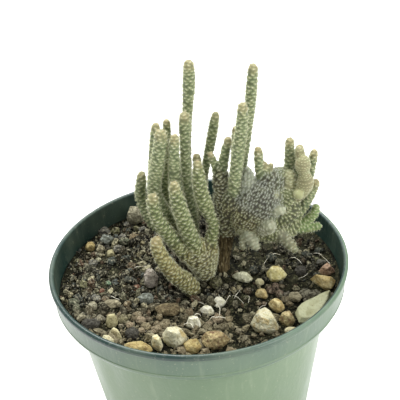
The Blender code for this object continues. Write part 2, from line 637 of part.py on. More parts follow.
def spine_places(stem, own, stems, neighbours):
    """Even places for the spines of one stem, out to its tip: (root, tip) pairs."""
    stem, flatness = stem
    rings = frames(stem)
    places = []
    covered = 0.0
    turn = own * 1.7
    for (place, radius, along, side, up), (after, *_) in zip(rings, rings[1:]):
        covered += math.tau * radius * (after - place).length
        while covered > SPINE_AREA:
            covered -= SPINE_AREA
            turn += GOLDEN_ANGLE
            out = side * math.cos(turn) + up * math.sin(turn)
            places.append((place + (after - place) * 0.5, radius, along, out, SPINE_LEAN))
    place, radius, along, side, up = rings[-1]
    for corner in range(3):
        angle = math.tau * corner / 3 + turn
        out = side * math.cos(angle) + up * math.sin(angle)
        places.append((place - along * radius * 0.1, radius * 0.8, along, out, 52.0))
    result = []
    for place, radius, along, out, lean in places:
        tilt = math.radians(lean)
        aim = out * math.cos(tilt) + along * math.sin(tilt)
        out.y *= flatness
        skin = place + out * radius
        tip = skin + aim * SPINE_LENGTH
        if tip.z < 2.0 or depth_inside(skin + out * 0.5, stems, own) > -0.1:
            continue
        if depth_inside(tip, neighbours) > -SPINE_CLEARANCE:
            continue
        result.append((skin - aim * SPINE_ROOT, tip))
    return result


def add_spine(root, tip, collection):
    """A three-sided needle."""
    aim = (tip - root).normalized()
    side = aim.orthogonal().normalized()
    up = aim.cross(side)
    bm = bmesh.new()
    base = []
    for corner in range(3):
        angle = math.tau * corner / 3
        offset = (side * math.cos(angle) + up * math.sin(angle)) * SPINE_HALF_WIDTH
        base.append(bm.verts.new(root + offset))
    point = bm.verts.new(tip)
    for corner in range(3):
        bm.faces.new((base[corner], base[(corner + 1) % 3], point))
    bm.faces.new(tuple(reversed(base)))
    bmesh.ops.translate(bm, verts=bm.verts, vec=(0, 0, SOIL_TOP))
    add_object("spine", finish_mesh(bm, "spine"), collection=collection)


def build_stem(name, paths, colour, neighbour_paths, flat_start=False):
    """Fuse the fingers and spines of one stem into one closed body."""
    flat = [FAN_FLATNESS if path is FAN_FACE else 1.0 for path in paths]
    paths = [to_tip(path) for path in paths]
    stems = [(curve_points(path, 1.0), flatness) for path, flatness in zip(paths, flat)]
    neighbours = [(curve_points(path, 1.0), 1.0) for path in neighbour_paths]
    body = add_object(name, tube_mesh(name, paths[0], flat_start), colour)
    pieces = new_collection(name + " pieces")
    for path, flatness in zip(paths[1:], flat[1:]):
        add_object("finger", tube_mesh("finger", path, flatness=flatness), collection=pieces)
    for index, stem in enumerate(stems):
        for root, tip in spine_places(stem, index, stems, neighbours):
            add_spine(root, tip, pieces)
    boolean(body, pieces, "UNION")
    keep_outer_skin(body)
    body.data.materials.clear()
    body.data.materials.append(material(colour))
    smooth(body, 40)


def build_stalk():
    """The woody foot under the crested stem, with shallow ridges, flat on top."""
    mesh = tube_mesh("corky_stalk", CORKY_STALK[0], flat_end=True)
    stalk = add_object("corky_stalk", mesh, "cork")
    smooth(stalk, 40)


def outlined_points(plan, height, draw):
    """Points of a stone on rings that follow its outline."""
    middle = plan_centre(plan)
    points = []
    for level, share in STONE_RINGS:
        for corner in plan:
            reach = share * (1 if share == 1 else draw.uniform(0.86, 1.08))
            spot = middle + (Vector(corner) - middle) * reach
            top = level * (draw.uniform(0.84, 1.0) if level == 1 else 1)
            points.append(Vector((*spot, height * top)))
    return points


def slab_points(plan, height, draw):
    """Points of a flat stone that leans to the front: its top falls from the back to the front."""
    middle = plan_centre(plan)
    front, back = min(y for _, y in plan), max(y for _, y in plan)
    points = []
    for x, y in plan:
        corner = Vector((x, y))
        top = SLAB_FRONT + (height - SLAB_FRONT) * (y - front) / (back - front)
        points.append(Vector((*middle.lerp(corner, 0.85), 0)))
        points.append(Vector((*corner, 0.55 * top)))
        points.append(Vector((*middle.lerp(corner, draw.uniform(0.84, 0.94)), top)))
    return points


def egg_points(plan, height, draw):
    """Points of a stone scattered on an egg shape that fills its box, flat underneath."""
    x, y, width, depth = plan
    points = []
    for index in range(STONE_POINTS):
        level = 1 - 2 * (index + 0.5) / STONE_POINTS
        angle = GOLDEN_ANGLE * index + draw.uniform(-0.35, 0.35)
        ring = math.sqrt(1 - level * level)
        size = draw.uniform(0.8, 1.0)
        points.append(Vector((ring * math.cos(angle) * size, ring * math.sin(angle) * size,
                              max(-0.6, level * size))))
    lows = [min(point[axis] for point in points) for axis in range(3)]
    highs = [max(point[axis] for point in points) for axis in range(3)]
    turn = Matrix.Rotation(draw.uniform(-0.2, 0.2), 3, "Z")
    placed = []
    for point in points:
        share = [(value - low) / (high - low) for value, low, high in zip(point, lows, highs)]
        spot = Vector(((share[0] - 0.5) * width, (share[1] - 0.5) * depth, share[2] * height))
        placed.append(turn @ spot + Vector((x, y, 0)))
    return placed


def build_stone(number, colour, height, plan):
    """One rough stone, the hull of its points."""
    draw = random.Random(100 + number)
    points = egg_points if isinstance(plan, tuple) else outlined_points
    if colour == "slab":
        points = slab_points
    bm = bmesh.new()
    for point in points(plan, height, draw):
        bm.verts.new(point + Vector((0, 0, SOIL_TOP + SEAT_LEVEL)))
    bmesh.ops.convex_hull(bm, input=bm.verts)
    loose = [vert for vert in bm.verts if not vert.link_faces]
    bmesh.ops.delete(bm, geom=loose, context="VERTS")
    stone = add_object("stone_%02d" % number, finish_mesh(bm, "stone"), colour)
    smooth(stone, 25)


def main():
    for old in list(bpy.data.objects):
        bpy.data.objects.remove(old, do_unlink=True)
    build_pot()
    build_soil()
    build_stalk()
    build_stem("branched_stem", BRANCHED_STEM, "branched", CRESTED_STEM + LOW_STEM + CORKY_STALK)
    build_stem("low_stem", LOW_STEM, "low", BRANCHED_STEM)
    build_stem("crested_stem", CRESTED_STEM + [FAN_FACE], "crested",
               BRANCHED_STEM + CORKY_STALK, flat_start=True)
    for number, stone in enumerate(STONES, start=1):
        build_stone(number, *stone)


main()
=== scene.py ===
"""Potted crested maihueniopsis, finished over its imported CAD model.

The script goes from the pot, the soil, the stones and the loose grit to the woody stalk, the stems
and the dry roots, and last the studio. Meshes are made in millimetres and then scaled.
"""
import json
import math
import random

import bmesh
import bpy
import numpy
from mathutils import Matrix, Quaternion, Vector, geometry, noise
from mathutils.bvhtree import BVHTree

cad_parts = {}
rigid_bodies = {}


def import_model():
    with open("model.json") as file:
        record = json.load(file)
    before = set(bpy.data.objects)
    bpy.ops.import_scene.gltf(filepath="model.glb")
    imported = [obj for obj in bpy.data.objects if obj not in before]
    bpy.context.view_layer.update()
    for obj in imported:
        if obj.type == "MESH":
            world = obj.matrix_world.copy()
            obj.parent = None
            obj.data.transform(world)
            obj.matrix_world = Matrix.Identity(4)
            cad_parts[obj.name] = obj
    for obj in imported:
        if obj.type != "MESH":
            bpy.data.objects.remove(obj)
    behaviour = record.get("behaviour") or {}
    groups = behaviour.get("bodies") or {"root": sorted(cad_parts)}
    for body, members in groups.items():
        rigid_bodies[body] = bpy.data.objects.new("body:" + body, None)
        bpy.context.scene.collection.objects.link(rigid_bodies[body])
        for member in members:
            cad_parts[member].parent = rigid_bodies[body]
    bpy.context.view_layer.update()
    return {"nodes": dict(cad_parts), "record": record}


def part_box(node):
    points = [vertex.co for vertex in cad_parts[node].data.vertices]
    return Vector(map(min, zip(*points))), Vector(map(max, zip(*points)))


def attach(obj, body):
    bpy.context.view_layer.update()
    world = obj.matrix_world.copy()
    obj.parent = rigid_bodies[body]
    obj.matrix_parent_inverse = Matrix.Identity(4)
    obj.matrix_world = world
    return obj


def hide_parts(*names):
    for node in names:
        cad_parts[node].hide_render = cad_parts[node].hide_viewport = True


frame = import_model()


# Pot. A thin nursery pot, injection moulded in dark green polypropylene, with a rolled lip, a
# collar that ends at a fine seam, and a shoulder where the tapered wall begins. Below the collar
# the thin wall is painted pale, a painted glow for daylight through it; inside, painted shade keeps it
# dark.
SEAM = 76.0
POT_TURNS = 144
# Half section as (radius, height, length of the rounding), from under the floor round the outside.
POT_SECTION = [
    (0.0, 2.0, 0.0), (27.5, 2.0, 0.5), (27.9, 0.0, 0.3), (31.4, 0.0, 0.3), (32.0, 0.8, 0.3),
    (43.2, 72.0, 1.4), (48.1, 73.9, 1.2), (48.55, 75.75, 0.2), (48.85, 75.85, 0.1),
    (48.85, 76.2, 0.1), (48.7, 76.35, 0.1), (49.2, 82.6, 0.5), (49.9, 83.2, 0.25),
    (50.0, 84.3, 0.4), (49.2, 85.0, 0.5), (48.3, 84.6, 0.4), (48.15, 83.6, 0.4),
    (47.6, 76.0, 0.5), (47.1, 74.2, 1.0), (42.2, 72.3, 1.4), (31.4, 3.2, 1.0), (0.0, 3.2, 0.0),
]
DRAIN_HOLES = 6
DRAIN_CIRCLE = 19.0
DRAIN_RADIUS = 3.5
SHOULDER = 72.0          # top of the tapered wall, up to which the painted daylight glow is full
LIP_FOOT = 82.0          # from here up the lip is solid and dark again, but for a painted glow on the lamp's side


def linear(hex_colour):
    """Turn an sRGB hex colour into a linear RGBA tuple."""
    values = []
    for start in (0, 2, 4):
        value = int(hex_colour[start:start + 2], 16) / 255
        values.append(value / 12.92 if value <= 0.04045 else ((value + 0.055) / 1.055) ** 2.4)
    return (*values, 1.0)


def feed(tree, node, inputs):
    """Give a node its inputs, each as a value, an output, or a node for its first output in use."""
    for socket, value in inputs.items():
        if isinstance(value, bpy.types.Node):
            value = next(output for output in value.outputs if output.enabled)
        if isinstance(value, bpy.types.NodeSocket):
            tree.links.new(value, node.inputs[socket])
        else:
            node.inputs[socket].default_value = value


def add(tree, kind, inputs=None, **settings):
    """Add a node to a tree, with its settings and inputs; the kind leaves out the family."""
    families = (tree.bl_idname.removesuffix("Tree"), "ShaderNode", "FunctionNode", "Node")
    node = tree.nodes.new(next(name + kind for name in families if hasattr(bpy.types, name + kind)))
    for name, value in settings.items():
        setattr(node, name, value)
    feed(tree, node, inputs or {})
    return node


def new_material(name, roughness, shine=0.5, **settings):
    """A material with its shader, and object coordinates in millimetres."""
    made = bpy.data.materials.new(name)
    made.use_nodes = True
    tree = made.node_tree
    shader = tree.nodes["Principled BSDF"]
    feed(tree, shader, {"Roughness": roughness, "Specular IOR Level": shine})
    feed(tree, shader, {socket.replace("_", " "): value for socket, value in settings.items()})
    place = add(tree, "TexCoord").outputs["Object"]
    return made, tree, shader, add(tree, "VectorMath", {0: place, "Scale": 1000.0}, operation="SCALE")


def pattern(tree, mm, size, low, high, most=1.0, detail=3.0, stretch=(1, 1, 1)):
    """Noise with features of a size in millimetres, spread to 0..most between two of its levels."""
    if stretch != (1, 1, 1):
        mm = add(tree, "VectorMath", {0: mm, 1: stretch}, operation="MULTIPLY")
    grain = add(tree, "TexNoise", {"Vector": mm, "Scale": 1 / size, "Detail": detail})
    return add(tree, "MapRange", {"Value": grain, "From Min": low, "From Max": high, "To Max": most},
               interpolation_type="SMOOTHSTEP")


def layered(tree, colour, *layers):
    """Lay colours over a first one, each as (share, colour); a colour is hex or from a node."""
    colour = linear(colour) if isinstance(colour, str) else colour
    for share, over in layers:
        over = linear(over) if isinstance(over, str) else over
        colour = add(tree, "Mix", {0: share, 6: colour, 7: over}, data_type="RGBA")
    return colour


def surface(tree, shader, colour, height, depth):
    """Give a shader its colour, and a relief of 0..1 times a depth in millimetres."""
    raised = add(tree, "Bump", {"Height": height, "Distance": depth / 1000})
    feed(tree, shader, {"Base Color": colour, "Normal": raised})


def mesh_of(name, bm):
    """Keep what was built as a mesh, with its faces outward."""
    bmesh.ops.recalc_face_normals(bm, faces=bm.faces)
    mesh = bpy.data.meshes.new(name)
    bm.to_mesh(mesh)
    bm.free()
    return mesh


def new_object(name, data):
    made = bpy.data.objects.new(name, data)
    bpy.context.scene.collection.objects.link(made)
    return made


def keep_evaluated(obj):
    """Keep what the modifiers make as a plain mesh, also where it was a curve."""
    graph = bpy.context.evaluated_depsgraph_get()
    mesh = bpy.data.meshes.new_from_object(obj.evaluated_get(graph))
    name = mesh.name = obj.name
    if obj.type != "MESH":
        bpy.data.objects.remove(obj)
        return new_object(name, mesh)
    obj.modifiers.clear()
    obj.data = mesh
    return obj


def store(mesh, label, kind, values):
    """Give each point of a mesh a value of its own."""
    key = {"FLOAT": "value", "FLOAT_COLOR": "color", "FLOAT_VECTOR": "vector"}[kind]
    mesh.attributes.new(label, kind, "POINT").data.foreach_set(key, numpy.ravel(values))


def discard(collection):
    """Remove a collection of helpers, once they have done their work."""
    for obj in list(collection.objects):
        bpy.data.objects.remove(obj)
    bpy.data.collections.remove(collection)


def finish_piece(obj, slot, *nodes):
    """Scale a piece from millimetres to metres and give it to the frame."""
    obj.data.transform(Matrix.Scale(0.001, 4))
    obj.data.update()
    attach(obj, "root")
    if nodes:
        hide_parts(*nodes)


def rounded(corners, steps=4):
    """Round each inner corner of a line by a short curve of the length that it gives."""
    line = [Vector(corners[0][:2])]
    for before, (x, z, size), after in zip(corners, corners[1:], corners[2:]):
        here = Vector((x, z))
        start = here + (Vector(before[:2]) - here).normalized() * size
        end = here + (Vector(after[:2]) - here).normalized() * size
        for step in range(steps + 1):
            t = step / steps
            line.append(start.lerp(here, t).lerp(here.lerp(end, t), t))
    return line + [Vector(corners[-1][:2])]


def circle(count, radius):
    """Evenly spaced places round a circle, as (x, y)."""
    return [(radius * math.cos(math.tau * i / count), radius * math.sin(math.tau * i / count))
            for i in range(count)]


def join_rings(bm, rings):
    """Join closed rings of corners, each to the next one, by bands of faces."""
    for low, top in zip(rings, rings[1:]):
        for i in range(len(low)):
            after = (i + 1) % len(low)
            bm.faces.new((low[i], low[after], top[after], top[i]))


def turned(name, line, turns):
    """Turn a line that begins and ends on the axis into a closed body."""
    bm = bmesh.new()
    rings = [[bm.verts.new((x, y, point.y)) for x, y in circle(turns, point.x)] for point in line[1:-1]]
    join_rings(bm, rings)
    for ring, point in ((rings[0], line[0]), (rings[-1], line[-1])):
        middle = bm.verts.new((0, 0, point.y))
        for i in range(turns):
            bm.faces.new((ring[i], ring[(i + 1) % turns], middle))
    return mesh_of(name, bm)


pot = new_object("nursery_pot", turned("nursery_pot", rounded(POT_SECTION), POT_TURNS))
drills = bpy.data.collections.new("drain holes")
for x, y in circle(2 * DRAIN_HOLES, DRAIN_CIRCLE)[1::2]:
    bm = bmesh.new()
    bmesh.ops.create_cone(bm, cap_ends=True, segments=28, radius1=DRAIN_RADIUS,
                          radius2=DRAIN_RADIUS, depth=4)
    bmesh.ops.translate(bm, verts=bm.verts, vec=(x, y, 2.6))
    drills.objects.link(bpy.data.objects.new("drill", mesh_of("drill", bm)))
cut = pot.modifiers.new("Drain holes", "BOOLEAN")
cut.operand_type = "COLLECTION"
cut.collection = drills
cut.operation = "DIFFERENCE"
keep_evaluated(pot)
discard(drills)
pot.data.shade_smooth()
pot.data.set_sharp_from_angle(angle=math.radians(50))

# How much painted daylight the plastic shows: none inside, which stays dark as painted shade, a
# little on the collar, full below. The lip has a painted glow only on the side of the light.
daylight = []
for vert in pot.data.vertices:
    radius = math.hypot(vert.co.x, vert.co.y)
    outward = (vert.normal.x * vert.co.x + vert.normal.y * vert.co.y) / max(radius, 0.01)
    height = vert.co.z
    share = 0.0
    if outward > 0.15 and height > 0.5:
        share = 1.0 if height < SHOULDER else 0.55 if height < SEAM + 0.6 else 0.42
        if height > LIP_FOOT:
            # A painted glow on the lip, stronger towards the lamp on the right.
            glow = 0.62 * min(1.0, max(0.0, vert.co.x / 44))
            share = max(glow, 0.42 * max(0.0, (LIP_FOOT + 1.4 - height) / 1.4))
        if SEAM - 0.3 < height < SEAM + 0.4:
            share = 0.9
    daylight.append(share)
store(pot.data, "daylight", "FLOAT", daylight)

# Moulded polypropylene: satin, a little waxy, with faint flow marks and dried water on it.
plastic, tree, shader, mm = new_material("moulded_polypropylene", 0.42)
painted_light_share = add(tree, "Attribute", attribute_name="daylight").outputs["Fac"]
ramp = add(tree, "ValToRGB", {"Fac": painted_light_share})
# From painted shade inside to the painted glow of the wall below the collar.
ramp.color_ramp.elements[0].color = linear("16302c")
ramp.color_ramp.elements[1].color = linear("60755a")
ramp.color_ramp.elements.new(0.42).color = linear("4f6453")
cloudy = pattern(tree, mm, 16, 0.35, 0.7, 0.14, stretch=(1, 1, 0.5))
colour = layered(
    tree, ramp, (cloudy, "9aa88c"),
    (pattern(tree, mm, 2.2, 0.56, 0.75, 0.1, detail=5, stretch=(1, 1, 0.12)), "b4bba2"),
    (pattern(tree, mm, 0.8, 0.68, 0.74, 0.25, detail=1), "a5a48c"))
worn = add(tree, "MapRange", {"Value": cloudy, "From Max": 0.14, "To Min": 0.34, "To Max": 0.52})
feed(tree, shader, {"Roughness": worn})
surface(tree, shader, colour, pattern(tree, mm, 1.4, 0.2, 0.8, stretch=(1, 1, 0.6)), 0.05)
pot.data.materials.clear()
pot.data.materials.append(plastic)
finish_piece(pot, "pot", "pot")


# Soil. A cactus mix of peat and bark crumbs with lava grit, filled to 9 mm below the lip and
# settled by watering. Its top is lumpy; the larger grains that lie on it follow further down.
SOIL_TOP = 76.0
SOIL_EDGE = 47.2
SOIL_MESH = 0.8
SOIL_SIDES = 180
ROW_SHARE = 0.87         # from row to row of the mesh, as a share of the way along a row
# The soil's side under its edge, as (radius, height), down to the pot's floor.
SOIL_WALL = [(46.5, 74.4), (41.4, 72.4), (30.8, 3.5)]
# Where the stems leave the soil, as (x, y, radius), so that no grain lies inside a stem.
STEM_FEET = [(2.0, 1.0, 3.6), (-3.4, -6.2, 4.2), (8.3, 5.5, 3.0)]


def soil_height(x, y):
    """Height of the soil's top over SOIL_TOP."""
    place = Vector((x, y, 0.0))
    mound = noise.noise(place / 11.0) * 0.8
    clods = noise.noise(place / 3.0 + Vector((5, 2, 1))) * 0.8
    crumbs = noise.noise(place / 1.3 + Vector((1, 7, 4))) * 0.45
    return -0.55 + mound + clods + crumbs


corners = [Vector(spot) for spot in circle(SOIL_SIDES, SOIL_EDGE)]
loop = [(i, (i + 1) % SOIL_SIDES) for i in range(SOIL_SIDES)]
draw = random.Random(21)
rows = int(2 * SOIL_EDGE / (SOIL_MESH * ROW_SHARE))
for row in range(rows + 1):
    for column in range(int(2 * SOIL_EDGE / SOIL_MESH) + 1):
        spot = Vector((-SOIL_EDGE + (column + 0.5 * (row % 2)) * SOIL_MESH + draw.uniform(-0.2, 0.2),
                       -SOIL_EDGE + row * SOIL_MESH * ROW_SHARE + draw.uniform(-0.2, 0.2)))
        if spot.length < SOIL_EDGE - 0.7:
            corners.append(spot)
plan = geometry.delaunay_2d_cdt(corners, loop, [], 0, 0.0001)
bm = bmesh.new()
top = [bm.verts.new((spot.x, spot.y, SOIL_TOP + soil_height(spot.x, spot.y))) for spot in plan[0]]
for face in plan[2]:
    bm.faces.new([top[index] for index in face])
rim = sorted((vert for vert in top if math.hypot(vert.co.x, vert.co.y) > SOIL_EDGE - 0.01),
             key=lambda vert: math.atan2(vert.co.y, vert.co.x))
for vert in rim:
    vert.co.z = SOIL_TOP + 0.2
rings = [rim] + [[bm.verts.new((radius * vert.co.x / SOIL_EDGE, radius * vert.co.y / SOIL_EDGE, height))
                  for vert in rim] for radius, height in SOIL_WALL]
join_rings(bm, rings)
bm.faces.new(rings[-1])
soil = new_object("potting_soil", mesh_of("potting_soil", bm))
soil.data.shade_smooth()

# Peat and bark crumbs: almost black when deep, which partly stands for painted shade in the gaps
# between the grains; brown and grey-brown where they have dried.
peat, tree, shader, mm = new_material("peat_and_bark", 0.95, 0.12)
colour = layered(
    tree, "11120b", (pattern(tree, mm, 3.4, 0.4, 0.62), "2f2f20"),
    (pattern(tree, mm, 0.9, 0.52, 0.66), "4d4b37"), (pattern(tree, mm, 1.7, 0.62, 0.7), "65664d"),
    (pattern(tree, mm, 0.45, 0.7, 0.76), "9a9472"))
surface(tree, shader, colour, pattern(tree, mm, 0.6, 0.3, 0.7, detail=6), 0.5)
soil.data.materials.append(peat)


# Stones that stand out. River pebbles, limestone chips, pumice and lava from the same mix, some
# broken and some worn round, lying loose on the soil. Each keeps the place and form of its solid.
# Finishes as (main colour, second colour, stain, roughness, size of the mottling, depth of pits).
STONE_FINISHES = {
    "tan": ("a8a17b", "c4bf9a", "7b7050", 0.85, 1.6, 0.14),
    "yellow": ("c6bd80", "d9d3a2", "9d8c4e", 0.8, 1.8, 0.12),
    "ochre": ("b09c68", "ccbf8f", "87703f", 0.8, 1.7, 0.14),
    "cream": ("bcb791", "d4d0b0", "a08b54", 0.85, 2.0, 0.14),
    "white": ("c9c7ae", "dfddcd", "9f9a78", 0.85, 1.5, 0.12),
    "slab": ("9a9c7b", "a8aa8a", "8b8a66", 0.8, 2.6, 0.06),
    "rust": ("8b7159", "aa9078", "604838", 0.9, 1.1, 0.18),
    "speckled": ("958660", "bcb083", "6a4f36", 0.85, 1.0, 0.16),
    "brindled": ("85744f", "aa9d72", "5e4232", 0.85, 1.0, 0.18),
    "amber": ("938352", "ab9d6e", "735d36", 0.85, 1.4, 0.16),
    "chalk": ("b6b394", "c9c6ab", "a58d50", 0.85, 2.4, 0.16),
    "buff": ("958f69", "b1ab84", "6c6142", 0.85, 1.6, 0.14),
    "rosy": ("aaa195", "c8c1b0", "6c5c50", 0.95, 1.1, 0.3),
    "sage": ("c2c2a2", "dcdbbf", "83825f", 0.85, 1.4, 0.14),
    "dull": ("7c765e", "a39c80", "4f4936", 0.9, 1.2, 0.18),
    "moss": ("565540", "7c7859", "2d2c1c", 0.9, 1.1, 0.22),
    "pumice": ("8a866e", "a9a58c", "58543f", 0.95, 1.2, 0.30),
    "grey": ("5f6357", "8b9087", "373930", 0.9, 1.0, 0.25),
    "dark": ("333129", "4f4d44", "1d1c17", 0.9, 1.0, 0.25),
    "bark": ("5c5038", "7c7153", "352c1c", 0.95, 0.9, 0.20),
}
# Stones whose finish differs from that of their slot.
STONE_LOOKS = {"stone_01": "sage", "stone_06": "chalk", "stone_07": "speckled",
               "stone_13": "white", "stone_14": "chalk", "stone_16": "brindled",
               "stone_17": "amber", "stone_18": "amber", "stone_20": "buff", "stone_23": "amber",
               "stone_24": "dull", "stone_25": "buff", "stone_26": "rosy", "stone_28": "pumice",
               "stone_30": "dull", "stone_33": "dull"}
BIG_STONE = 4.5          # widest side from which a stone gets a finer mesh
GRAIN_SIZE = 0.7         # of the fine relief that covers a stone
FLAT_WITHIN = math.radians(4)
STONE_GROWTH = 1.04      # the rounding draws the corners in, so the stone starts a little larger


def stone_material(name, main, second, stain, roughness, mottling, pits):
    """A dry stone: mottled, stained by iron in patches, darker in its pits."""
    made, tree, shader, mm = new_material(name + "_stone", roughness, 0.35)
    pitted = pattern(tree, mm, 0.6, 0.6, 0.72, 0.35, detail=2)
    colour = layered(
        tree, main, (pattern(tree, mm, mottling, 0.38, 0.66, detail=5), second),
        (pattern(tree, mm, mottling * 1.3, 0.5, 0.66, 0.7, detail=5, stretch=(1, 1.2, 0.8)), stain),
        (pattern(tree, mm, 0.8, 0.5, 0.7, 0.45, stretch=(0.9, 1, 1.2)), stain), (pitted, "4a4230"))
    rough = pattern(tree, mm, 0.9, 0.3, 0.7, detail=6)
    height = add(tree, "Math", {0: rough, 1: pitted}, operation="SUBTRACT")
    surface(tree, shader, colour, height, pits * 1.7)
    return made


def new_tree(name, inputs):
    """A geometry tree with named inputs as (name, kind, value); its geometry goes in and out."""
    made = bpy.data.node_groups.new(name, "GeometryNodeTree")
    made.interface.new_socket("Geometry", in_out="INPUT", socket_type="NodeSocketGeometry")
    for label, kind, value in inputs:
        socket = made.interface.new_socket(label, in_out="INPUT", socket_type="NodeSocket" + kind)
        if value is not None:
            socket.default_value = value
    made.interface.new_socket("Geometry", in_out="OUTPUT", socket_type="NodeSocketGeometry")
    return made, made.nodes.new("NodeGroupInput").outputs


def close_tree(made, result, material):
    """End a tree in Realize Instances and Set Material."""
    real = add(made, "RealizeInstances", {"Geometry": result})
    add(made, "GroupOutput", {0: add(made, "SetMaterial", {"Geometry": real, "Material": material})})


def run_tree(obj, made, **values):
    """Run a tree on an object with some of its inputs set, and keep the result as a plain mesh."""
    step = obj.modifiers.new(made.name, "NODES")
    step.node_group = made
    for item in made.interface.items_tree:
        key = item.name.replace(" ", "_")
        if item.in_out == "INPUT" and key in values:
            step[item.identifier] = values[key]
    return keep_evaluated(obj)


weather, given = new_tree("weathered stone", [
    ("Level", "Int", 3), ("Sharpness", "Float", 0.85), ("Lumps", "Float", 0.35),
    ("Lump Size", "Float", 2.4), ("Grain", "Float", 0.12), ("Seed", "Float", 0.0),
    ("Material", "Material", None)])
soft = add(weather, "SubdivisionSurface", {
    "Mesh": given["Geometry"], "Level": given["Level"], "Edge Crease": given["Sharpness"]})
spot = add(weather, "InputPosition")
shifts = []
per_lump = add(weather, "Math", {0: 1.0, 1: given["Lump Size"]}, operation="DIVIDE")
for scale, depth in ((per_lump, given["Lumps"]), (1 / GRAIN_SIZE, given["Grain"])):
    field = add(weather, "TexNoise", {
        "Vector": spot, "W": given["Seed"], "Scale": scale, "Detail": 2.0}, noise_dimensions="4D")
    centred = add(weather, "Math", {0: field, 1: 0.5}, operation="SUBTRACT")
    raised = add(weather, "Math", {0: centred, 1: depth}, operation="MULTIPLY")
    shifts.append(add(weather, "Math", {0: raised, 1: 2.0}, operation="MULTIPLY"))
shift = add(weather, "Math", {0: shifts[0], 1: shifts[1]}, operation="ADD")
push = add(weather, "VectorMath", {0: add(weather, "InputNormal"), "Scale": shift}, operation="SCALE")
close_tree(weather, add(weather, "SetPosition", {"Geometry": soft, "Offset": push}), given["Material"])

stone_slots = {row["node"]: row["material_slot"] for row in frame["record"]["subparts"]
               if row["node"].startswith("stone_")}
stone_finishes = {name: stone_material(name, *values) for name, values in STONE_FINISHES.items()}
stone_spots = []
for number, (node, slot) in enumerate(sorted(stone_slots.items())):
    low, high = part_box(node)
    middle = (Vector(low) + Vector(high)) * 500
    widest = max(high[0] - low[0], high[1] - low[1]) * 1000
    stone_spots.append((middle.x, middle.y, widest / 2))
    bm = bmesh.new()
    bm.from_mesh(frame["nodes"][node].data)
    bmesh.ops.transform(bm, matrix=Matrix.Scale(1000, 4), verts=bm.verts)
    bmesh.ops.remove_doubles(bm, verts=bm.verts, dist=0.01)
    bmesh.ops.dissolve_limit(bm, angle_limit=FLAT_WITHIN, verts=bm.verts, edges=bm.edges)
    bmesh.ops.triangulate(bm, faces=bm.faces)
    bmesh.ops.scale(bm, vec=[STONE_GROWTH] * 3, verts=bm.verts, space=Matrix.Translation(-middle))
    stone = new_object("loose_" + node, mesh_of(node, bm))
    run_tree(stone, weather, Level=3 if widest > BIG_STONE else 2, Seed=number * 3.7,
             Lumps=0.04 * widest, Lump_Size=0.35 * widest, Grain=0.03 if slot == "slab" else 0.16,
             Material=stone_finishes[STONE_LOOKS.get(node, slot)])
    stone.data.shade_smooth()
    finish_piece(stone, slot, node)


# Loose grit. Broken lava, pumice and bark of 0.8 to 5 mm that covers the soil, thrown on when the
# pot was topped up. The grains are a few broken shapes, turned and sized at random, and lie closer
# on the left. The largest lumps are made one by one.
GRIT_TONES = ["1a1912", "35342a", "4b4a3d", "29281f", "5e5c48", "706f59", "544937", "3a3a32",
              "7c7964", "4b4e46", "5f4d3c", "8a8771", "3e3a2b", "989070", "595e58", "b0aa89"]
# Lava colours by kind; the near-black kind is painted shadow for the hollow behind the stems.
LAVA = {"dark": "3b3b2e", "slate": "4a5048", "olive": "5f6350", "moss": "68674a", "brown": "675a46",
        "umber": "786a50", "ash": "706f65", "tan": "85795f", "dust": "8d8878", "pale": "b6b394",
        "mauve": "8f7c6a", "plum": "55463f", "porous": "a9a58f", "shadow_black": "161510",
        "red": "7d5a48", "green": "6a8066"}
# Sizes of loose grit as (name, number of shapes, corners of each, spacing, density, how common the
# small ones are, smallest, largest, lift, seed, clear border).
GRIT = [
    ("coarse_grit", 9, 16, 2.0, 1.4, 1.5, 2.0, 5.2, 0.14, 3, 2.2),
    ("fine_grit", 8, 12, 0.95, 3.0, 2.2, 0.8, 2.2, 0.2, 8, 1.0),
]
GRAIN_ROUGHNESS = 0.42
LUMP_ROUGHNESS = 0.22
LUMP_CORNERS = 22
# Where the peat shows between the grains, as (x, y, radius).
BARE_PEAT = [(12.0, -23.5, 5.5), (33.5, -3.5, 4.5), (24.0, 11.0, 7.0), (-32.0, 9.0, 4.5)]
